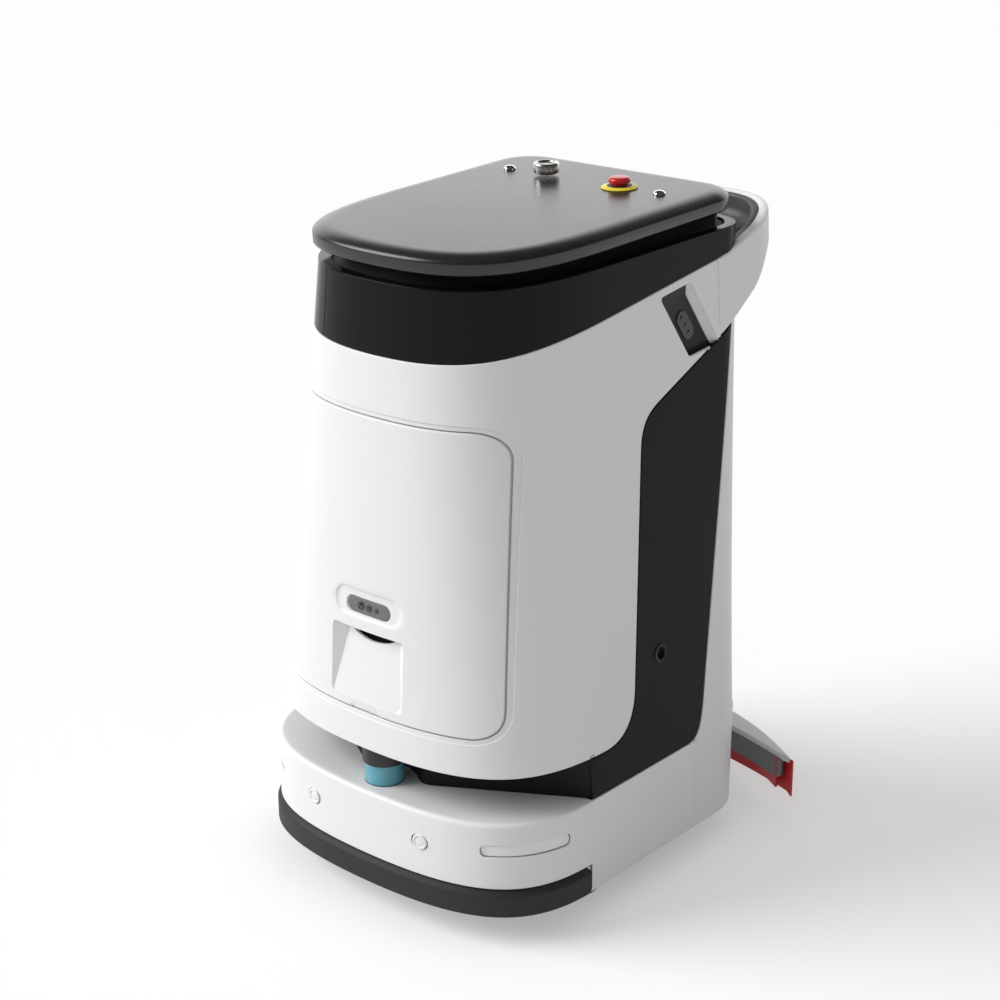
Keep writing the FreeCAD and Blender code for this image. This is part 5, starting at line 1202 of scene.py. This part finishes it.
class ROBOT_OT_sensors(RobotOperator, bpy.types.Operator):
    """Make the lidar in its bay and the side cameras in their notches"""

    bl_idname = "robot.sensors"
    bl_label = "Lidar and side cameras"

    def execute(self, context):
        cap, pane = LIDAR_CAP / 2, LIDAR_WINDOW / 2
        for name, node, look, profile in (
                ("lidar_foot", "lidar_base", "neck", [(0, -2), (pane + 0.2, -2), (pane + 0.2, 0.9), (0, 0.9)]),
                ("lidar_band", "lidar_window", "teal", [
                    (0, 0.9), (pane - 0.3, 0.9), (pane, 1.3), (pane, LIDAR_BAND), (0, LIDAR_BAND)]),
                ("lidar_top", "lidar_cap", "lidar", [
                    (0, LIDAR_BAND), (cap - 0.6, LIDAR_BAND), (cap, LIDAR_BAND + 0.6), (cap, LIDAR_HEIGHT - 3.4),
                    (cap - 0.3, LIDAR_HEIGHT - 2.2), (cap - 1.2, LIDAR_HEIGHT - 0.8), (cap - 2.8, LIDAR_HEIGHT),
                    (0, LIDAR_HEIGHT)])):
            shape = lathe(profile, 96)
            shape.move(Matrix.Translation((0.0, LIDAR_Y, DECK_Z)))
            piece(name, shape, finish(look), "chassis", [node], sharp=35)
        self.bay()
        tray, wedge, pill, dots = self.eye()
        parts = ((tray, "eye_tray_", "dark"), (wedge, "eye_wedge_", "white"), (pill, "eye_window_", "eye"),
                 (dots, "eye_lenses_", "lens"))
        for way, name in SIDES:
            for shape, label, look in parts:
                nodes = ["side_camera_" + name] if shape is tray else []
                shown = shape if way > 0 else mirrored(shape)
                piece(label + name, shown, finish(look), "chassis", nodes, sharp=30)
        return {"FINISHED"}

    def bay(self):
        """Swept-back black face under the shell, with a rounded nose each side and a pocket behind the lidar."""
        right = trace((BASE_HALF - 6.0, BAY_END), [
            (BAY_MOUTH + 16.0, BAY_NOSE + 9.0),
            ((BAY_MOUTH + 6.0, BAY_NOSE + 3.0), (BAY_MOUTH - 2.0, BAY_NOSE - 1.0),
             (BAY_MOUTH - 10.0, BAY_NOSE + 3.0)),
            ((BAY_MOUTH - 24.0, BAY_BACK - 12.0), (24.0, BAY_BACK), (0.0, BAY_BACK))])
        plan = np.concatenate([right[:-1], left_of(right)])
        low = DECK_Z + 0.2
        wide = np.minimum(np.abs(plan[:, 0]), BASE_HALF - 24.0)
        ahead = tower.place(tower.run_at(0, wide, BAY_TOP, WALL), BAY_TOP, WALL)[:, 1]
        behind = plan[:, 1] + BAY_WALL
        x, y = plan[:, 0], plan[:, 1]
        brow = np.sign(x) * wide, np.minimum(ahead, y)
        shape = Shape()
        shape.grid([points(x, behind, low), points(x, y, low), points(x, y, BAY_TOP), points(*brow, BAY_TOP),
                    points(*brow, BAY_TOP + 2.0), points(x, behind, BAY_TOP + 2.0), points(x, behind, low)])
        piece("bay_face", shape, finish("neck"), "chassis", ["lidar_bay"], sharp=40)

    def eye(self):
        """Dark floor with a leaning window and a white slanted wall behind it, on the right-hand side."""
        front_top, rear_top, mouth_rear, mouth_front, front_low = eye_corners()
        down = np.array([EYE_LEAN, -1.0]) * (EYE_TOP - EYE_LOW)
        across = np.array([EYE_WIDTH, EYE_RISE])
        depth = EYE_DEPTH - 4.0

        def at(u, v, inset):
            spot = front_top + across * u + down * v
            run = tower.run_at(1, np.array(spot[0]), np.array(spot[1]))
            return tower.place(run, np.array(spot[1]), np.array(inset))

        columns = np.linspace(0.0, EYE_TRAY, 9)
        levels = [(-0.02, 2.4), (0.0, 2.4), (0.09, 7.0), (0.10, 7.2), (0.19, depth), (0.5, depth), (0.9, depth),
                  (1.06, depth - 1)]
        tray = Shape()
        tray.grid([[at(-0.02, v, d) for v, d in levels]] + [[at(u, v, d) for v, d in levels] for u in columns]
                  + [[at(EYE_TRAY, v, d + 4) for v, d in levels]])
        wedge = Shape()
        marks = np.linspace(-0.01, 1.04, 14)
        wedge.grid([[at(0.865, v, depth + 0.5) for v in marks], [at(0.875, v, depth - 1.5) for v in marks],
                    [at(0.89, v, depth - 2.0) for v in marks], [at(1.01, v, 0.8) for v in marks]])
        middle = front_top + across * 0.45 + down * 0.60
        lean = math.atan2(-down[1], down[0])
        outline = stadium((0.0, 0.0), EYE_PILL, EYE_PILL_TALL)
        turn = np.array([[math.cos(lean), -math.sin(lean)], [math.sin(lean), math.cos(lean)]])

        def place(u, v, inset):
            flat = np.stack([u, -v], axis=-1) @ turn.T
            spots = points(middle[0] + flat[..., 0], middle[1] - flat[..., 1])
            runs = tower.run_at(1, spots[..., 0], spots[..., 1])
            return tower.place(runs, spots[..., 1], inset + depth - 1.6)

        pill = skin(place, [outline], 1.0, 3.0, step=4.0)
        dots = Shape()
        for k in (-1, 0, 1):
            spot = place(np.array([k * EYE_LENS_GAP]), np.array([0.0]), np.array([0.0]))[0]
            lens = lathe([(0, 1.4), (1.0, 1.2), (1.6, 0.5), (2.2, 0.4), (2.6, 0.8), (3.2, 0.6), (3.2, -0.5)], 24)
            lens.move(facing(spot, (1.0, 0.0, 0.08)))
            dots.add(lens.all_verts(), lens.faces)
        return tray, wedge, pill, dots


# Squeegee

def bowed(middle, end, half):
    """Places on an upright wall that bows backwards (run, height, inset to the rear), and half its run."""
    sag = middle - end
    radius = (half * half + sag * sag) / (2 * sag)

    def place(run, z, inset):
        turn = np.asarray(run, float) / radius
        return points((radius + inset) * np.sin(turn), middle - radius + (radius + inset) * np.cos(turn), z)

    return place, radius * math.asin(half / radius)


class ROBOT_OT_squeegee(RobotOperator, bpy.types.Operator):
    """Make the squeegee's plate, bar and both blades"""

    bl_idname = "robot.squeegee"
    bl_label = "Squeegee"

    def execute(self, context):
        front, half = bowed(PLATE_FRONT, PLATE_TIP, PLATE_HALF - PLATE_SHORT)
        rear, reach = bowed(PLATE_REAR, PLATE_TIP, PLATE_HALF)
        ahead = front(np.linspace(-half, half, 160), 0.0, 0.0)[:, :2]
        behind = rear(np.linspace(reach, -reach, 160), 0.0, 0.0)[:, :2]
        outline = clean_loop(np.concatenate([ahead, behind]))
        turn = np.linspace(0, math.pi / 2, 5)
        low = PLATE_TOP - PLATE_THICK
        rings = [(2.0, low), (0.5, low), (0.0, low + 0.5)]
        rings += [(1.6 * (1 - math.cos(a)), PLATE_TOP - 1.6 * (1 - math.sin(a))) for a in turn]
        rings += [(2.4, PLATE_TOP)]
        shape = Shape()
        starts = shape.grid([points(*shift_loop(outline, by).T, z) for by, z in rings], closed=True)
        last = len(outline) - 1
        for i in range(last // 2):
            shape.faces.append([starts[-1] + k for k in (i, i + 1, last - i - 1, last - i)])
            shape.faces.append([starts[0] + k for k in (last - i, last - i - 1, i + 1, i)])
        piece("squeegee_top", shape, finish("light_grey"), "squeegee_body", ["squeegee_plate"], sharp=50)
        place, half = bowed(PLATE_FRONT + 1.0, PLATE_TIP + 1.0, BAR_HALF)
        foot = low - BAR_TALL
        top = low - 0.2
        loop = bent([(0, top), (-half, top), (-half, foot), (half, foot), (half, top), (0, top)],
                    [1.5, 8.0, 8.0, 1.5], 3.0)[:-1]
        shape = skin(place, [loop], 1.4, BAR_THICK - 1.0)
        piece("squeegee_rail", shape, finish("dark_grey"), "squeegee_body", ["squeegee_bar"])
        place, half = bowed(PLATE_FRONT + BAR_THICK + 0.6, PLATE_TIP + BAR_THICK + 0.6, PLATE_HALF - 1.0)
        hem = half - BLADE_FLARE
        loop = trace((-half, BLADE_FOOT), [
            (-hem, BLADE_HEM), (hem, BLADE_HEM), (half, BLADE_FOOT), (half, low - 1.0), (-half, low - 1.0),
            (-half, BLADE_FOOT)])[:-1]
        shape = skin(place, [loop], 0.6, BLADE_THICK - 1.0)
        lip = piece("squeegee_lip", shape, finish("red_rubber"), "squeegee_body", ["blade_front"])
        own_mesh(lip)
        ends = reach * 0.93
        loop = trace((-ends, BLADE_REAR), [
            (ends, BLADE_REAR), (ends, top), (-ends, top), (-ends, BLADE_REAR)])[:-1]
        shape = skin(lambda run, z, inset: rear(run, z, inset - 12.0), [loop], 0.6, BLADE_THICK)
        piece("squeegee_rear_lip", shape, finish("red_rubber"), "squeegee_body", ["blade_rear"])
        return {"FINISHED"}


# Wheels and brush

def roller(node):
    """Middle, least and greatest radius and width of a solid that turns about x, in millimetres."""
    solid = frame["nodes"][node]
    verts = np.array([solid.matrix_world @ v.co for v in solid.data.vertices]) / MM
    low, high = verts.min(axis=0), verts.max(axis=0)
    middle = (low + high) / 2
    radii = np.hypot(verts[:, 1] - middle[1], verts[:, 2] - middle[2])
    return middle, float(radii.min()), float(radii.max()), float(high[0] - low[0])


def rows_group():
    """Node group that sets copies of one piece in rows round a roller that lies along x."""
    tree = bpy.data.node_groups.new(ROWS_GROUP, "GeometryNodeTree")
    kinds = {"Piece": "Object", "Rows": "Int", "Per row": "Int", "Radius": "Float", "Length": "Float",
             "Twist": "Float", "Sway": "Float", "Seed": "Int", "Material": "Material"}
    for name, kind in kinds.items():
        tree.interface.new_socket(name, in_out="INPUT", socket_type="NodeSocket" + kind)
    tree.interface.new_socket("Geometry", in_out="OUTPUT", socket_type="NodeSocketGeometry")
    enter, leave = tree.nodes.new("NodeGroupInput"), tree.nodes.new("NodeGroupOutput")
    given = {name: Socket(tree, enter.outputs[name]) for name in kinds}
    per, sway, radius = given["Per row"], given["Sway"], given["Radius"]
    index = Socket(tree, tree.nodes.new("GeometryNodeInputIndex").outputs[0])
    row = index.math("FLOOR", index.math("DIVIDE", index + 0.5, per), 0.0)
    along = index.math("DIVIDE", index - row * per, per - 1.0) - 0.5
    turn = index.math("DIVIDE", row * math.tau, given["Rows"]) + along * given["Twist"]
    spot = index.node("ShaderNodeCombineXYZ", {}, {
        0: along * given["Length"], 1: index.math("COSINE", turn, 0.0) * radius,
        2: index.math("SINE", turn, 0.0) * radius})
    line = index.node("GeometryNodeMeshLine", {}, {"Count": given["Rows"] * per})
    line = index.node("GeometryNodeSetPosition", {}, {"Geometry": line, "Position": spot})
    lean = index.node("FunctionNodeRandomValue", {"data_type": "FLOAT_VECTOR"}, {
        0: sway * -1.0, 1: sway, "Seed": given["Seed"]})
    heading = index.node("ShaderNodeCombineXYZ", {}, {0: turn})
    heading = index.node("ShaderNodeVectorMath", {"operation": "ADD"}, {0: heading, 1: lean})
    item = index.node("GeometryNodeObjectInfo", {}, {"Object": given["Piece"]}, output="Geometry")
    rows = index.node("GeometryNodeInstanceOnPoints", {}, {
        "Points": line, "Instance": item, "Rotation": heading})
    rows = index.node("GeometryNodeRealizeInstances", {}, {"Geometry": rows})
    rows = index.node("GeometryNodeSetMaterial", {}, {"Geometry": rows, "Material": given["Material"]})
    tree.links.new(rows.socket, leave.inputs["Geometry"])
    return tree


def in_rows(name, item, look, body, middle, settings, replaced=()):
    """Copies of one shape in rows round a roller, as one plain mesh on a body."""
    group = bpy.data.node_groups.get(ROWS_GROUP) or rows_group()
    mesh = bpy.data.meshes.new(name + "_item")
    mesh.from_pydata((item.all_verts() * MM).tolist(), [], [[int(i) for i in f] for f in item.faces])
    helpers = [bpy.data.objects.new(name + "_item", mesh),
               bpy.data.objects.new(name + "_rows", bpy.data.meshes.new(name))]
    for helper in helpers:
        bpy.context.scene.collection.objects.link(helper)
    modifier = helpers[1].modifiers.new("Rows", "NODES")
    modifier.node_group = group
    given = {"Piece": helpers[0], "Material": look, "Seed": ROWS_SEED, **settings}
    for socket in group.interface.items_tree:
        if socket.in_out == "INPUT":
            modifier[socket.identifier] = given[socket.name]
    bpy.context.view_layer.update()
    graph = bpy.context.evaluated_depsgraph_get()
    made = bpy.data.meshes.new_from_object(helpers[1].evaluated_get(graph))
    if not made.polygons:
        raise RuntimeError(f"the rows of {name} came out empty")
    helpers[1].modifiers.remove(modifier)
    for helper in helpers:
        bpy.data.objects.remove(helper)
    made.transform(Matrix.Translation(Vector(middle) * MM))
    return finished(name, made, look, body, replaced, 30)


def block(long, deep, tall, flare=1.0):
    """Upright block on its foot, along y, with a head that may be wider than the foot."""
    shape = Shape()
    foot = [(-1, 0, -1), (1, 0, -1), (1, 0, 1), (-1, 0, 1)]
    shape.grid([[(x * long * grow / 2, height, z * deep * grow / 2) for x, _, z in foot]
                for height, grow in ((0.0, 1.0), (tall, flare))], closed=True)
    shape.fan(0, 4, flip=True)
    shape.fan(4, 4)
    return shape


class ROBOT_OT_running_gear(RobotOperator, bpy.types.Operator):
    """Finish the wheels, the casters, the brush and what is inside"""

    bl_idname = "robot.running_gear"
    bl_label = "Wheels, brush and inside"

    def execute(self, context):
        looks = {
            "hub_left": "dark_grey", "hub_right": "dark_grey",
            "caster_fork_left": "steel", "caster_fork_right": "steel", "caster_wheel_left": "tyre",
            "caster_wheel_right": "tyre", "brush_core": "dark_grey", "brush_deck": "dark",
            "chassis_plate": "alloy", "base_frame": "paint", "core_frame": "paint", "drive_motor_left": "alloy",
            "drive_motor_right": "alloy", "battery": "dark", "controller": "dark", "suction_fan": "dark_grey",
            "clean_tank": "tank", "recovery_tank": "tank", "lift_guide": "steel"}
        for node, look in looks.items():
            covered(node, finish(look))
        for node in ("tyre_left", "tyre_right"):
            self.tyre(node)
        self.brush()
        return {"FINISHED"}

    def tyre(self, node):
        """Casing with two rows of lugs round it."""
        middle, inner, outer, width = roller(node)
        foot, half = outer - LUG_TALL, width / 2
        casing = lathe([(inner, 2 - half), (foot - 5, -half), (foot - 1, 2 - half), (foot, 5 - half),
                        (foot, half - 5), (foot - 1, half - 2), (foot - 5, half), (inner, half - 2),
                        (inner, 2 - half)], 96)
        casing.move(facing(middle, (1.0, 0.0, 0.0)))
        piece(node + "_casing", casing, finish("tyre"), BODY_OF[node], [node], sharp=35)
        lug = block(0.38 * width, LUG_DEEP, LUG_TALL - 0.2, 0.9)
        in_rows(node + "_lugs", lug, finish("tyre"), BODY_OF[node], middle, {
            "Rows": LUG_COUNT, "Per row": 2, "Radius": (foot - 0.1) * MM, "Length": 0.44 * width * MM,
            "Twist": math.pi / LUG_COUNT, "Sway": 0.0})

    def brush(self):
        """Rows of tufts that wind round the core of the brush."""
        middle, _, core, _ = roller("brush_core")
        _, _, tip, width = roller("brush_bristles")
        tuft = block(TUFT_FOOT, TUFT_FOOT, tip - core, TUFT_FLARE)
        in_rows("brush_tufts", tuft, finish("fibre"), BODY_OF["brush_bristles"], middle, {
            "Rows": TUFT_ROWS, "Per row": TUFTS, "Radius": (core - 0.8) * MM,
            "Length": (width - 2 * TUFT_FOOT) * MM, "Twist": TUFT_TWIST, "Sway": TUFT_SWAY}, ["brush_bristles"])


# Stage

class ROBOT_OT_stage(RobotOperator, bpy.types.Operator):
    """Make the floor, the lamp, the world and the camera"""

    bl_idname = "robot.stage"
    bl_label = "Stage"

    def execute(self, context):
        scene = context.scene
        scene.view_settings.view_transform = "Standard"
        self.floor()
        self.world(scene)
        self.lamp("Key", KEY_TRAVEL, KEY_ANGLE, KEY_STRENGTH)
        self.camera(scene)
        return {"FINISHED"}

    def floor(self):
        bpy.ops.mesh.primitive_plane_add(size=FLOOR_SIZE)
        floor = bpy.context.object
        floor.name = "Floor"
        material = bpy.data.materials.new("Pale floor")
        material.use_nodes = True
        tree = material.node_tree
        shader = tree.nodes["Principled BSDF"]
        shader.inputs["Base Color"].default_value = (FLOOR_GREY, FLOOR_GREY, FLOOR_GREY, 1.0)
        shader.inputs["Roughness"].default_value = 0.9
        shader.inputs["Specular IOR Level"].default_value = 0.1
        path = tree.nodes.new("ShaderNodeLightPath")
        seen = Socket(tree, path.outputs["Is Camera Ray"]) + Socket(tree, path.outputs["Is Glossy Ray"])
        seen = seen + Socket(tree, path.outputs["Is Transmission Ray"])
        shader.inputs["Emission Strength"].default_value = 1.0
        tree.links.new((seen * FLOOR_GLOW).socket, shader.inputs["Emission Color"])
        floor.data.materials.append(material)

    def world(self, scene):
        """White to the camera, plain grey light on the object, one bright side of the room in reflections."""
        scene.world = scene.world or bpy.data.worlds.new("Studio")
        scene.world.use_nodes = True
        tree = scene.world.node_tree
        tree.nodes.clear()
        path = tree.nodes.new("ShaderNodeLightPath")
        way = Socket(tree, tree.nodes.new("ShaderNodeTexCoord").outputs["Generated"])

        def rising(toward, low, high):
            along = way.node("ShaderNodeVectorMath", {"operation": "DOT_PRODUCT"}, {0: way, 1: toward}, output=1)
            smooth = {"interpolation_type": "SMOOTHSTEP"}
            return way.node("ShaderNodeMapRange", smooth, {0: along, 1: low, 2: high})

        bright = rising((-0.61, 0.79, 0.0), 0.45, 0.75) * rising((0.0, 0.0, -1.0), -0.60, -0.42)

        def light(strength):
            node = tree.nodes.new("ShaderNodeBackground")
            node.inputs["Color"].default_value = (1.0, 1.0, 1.0, 1.0)
            node.inputs["Strength"].default_value = strength
            return Socket(tree, node.outputs[0])

        def mix(share, first, second):
            return way.node("ShaderNodeMixShader", {}, {0: share, 1: first, 2: second})

        room = mix(bright, light(ROOM_DARK), light(ROOM_BRIGHT))
        seen = mix(Socket(tree, path.outputs["Is Glossy Ray"]), light(ROOM_LIGHT), room)
        seen = mix(Socket(tree, path.outputs["Is Camera Ray"]), seen, light(1.0))
        tree.links.new(seen.socket, tree.nodes.new("ShaderNodeOutputWorld").inputs["Surface"])

    def lamp(self, name, travel, angle, strength):
        data = bpy.data.lights.new(name, "SUN")
        data.angle = math.radians(angle)
        data.energy = strength
        lamp = bpy.data.objects.new(name, data)
        lamp.rotation_euler = Vector(travel).to_track_quat("-Z", "Y").to_euler()
        bpy.context.scene.collection.objects.link(lamp)

    def camera(self, scene):
        data = bpy.data.cameras.new("Camera")
        data.lens = CAMERA_LENS
        data.sensor_width = CAMERA_SENSOR
        camera = bpy.data.objects.new("Camera", data)
        camera.location = CAMERA_SPOT
        camera.rotation_euler = [math.radians(a) for a in CAMERA_TURN]
        scene.collection.objects.link(camera)
        scene.camera = camera


class ROBOT_PT_panel(bpy.types.Panel):
    """List of the robot's operators"""

    bl_label = "Cleaning robot"
    bl_idname = "ROBOT_PT_panel"
    bl_space_type = "VIEW_3D"
    bl_region_type = "UI"
    bl_category = "Robot"

    def draw(self, context):
        for settings in (context.scene.robot_sizes, context.scene.robot_finish):
            for key in settings.__annotations__:
                self.layout.prop(settings, key)
        for step in STEPS:
            self.layout.operator(step.bl_idname)


STEPS = (ROBOT_OT_stage, ROBOT_OT_front_covers, ROBOT_OT_side_covers, ROBOT_OT_top, ROBOT_OT_handle,
         ROBOT_OT_base, ROBOT_OT_sensors, ROBOT_OT_squeegee, ROBOT_OT_running_gear)
CLASSES = (RobotSizes, RobotFinish) + STEPS + (ROBOT_PT_panel,)


def register():
    for cls in CLASSES:
        bpy.utils.register_class(cls)
    bpy.types.Scene.robot_sizes = bpy.props.PointerProperty(type=RobotSizes)
    bpy.types.Scene.robot_finish = bpy.props.PointerProperty(type=RobotFinish)


def unregister():
    del bpy.types.Scene.robot_finish
    del bpy.types.Scene.robot_sizes
    for cls in reversed(CLASSES):
        bpy.utils.unregister_class(cls)


def main():
    register()
    for step in STEPS:
        group, name = step.bl_idname.split(".")
        getattr(getattr(bpy.ops, group), name)()


if __name__ == "__main__":
    main()
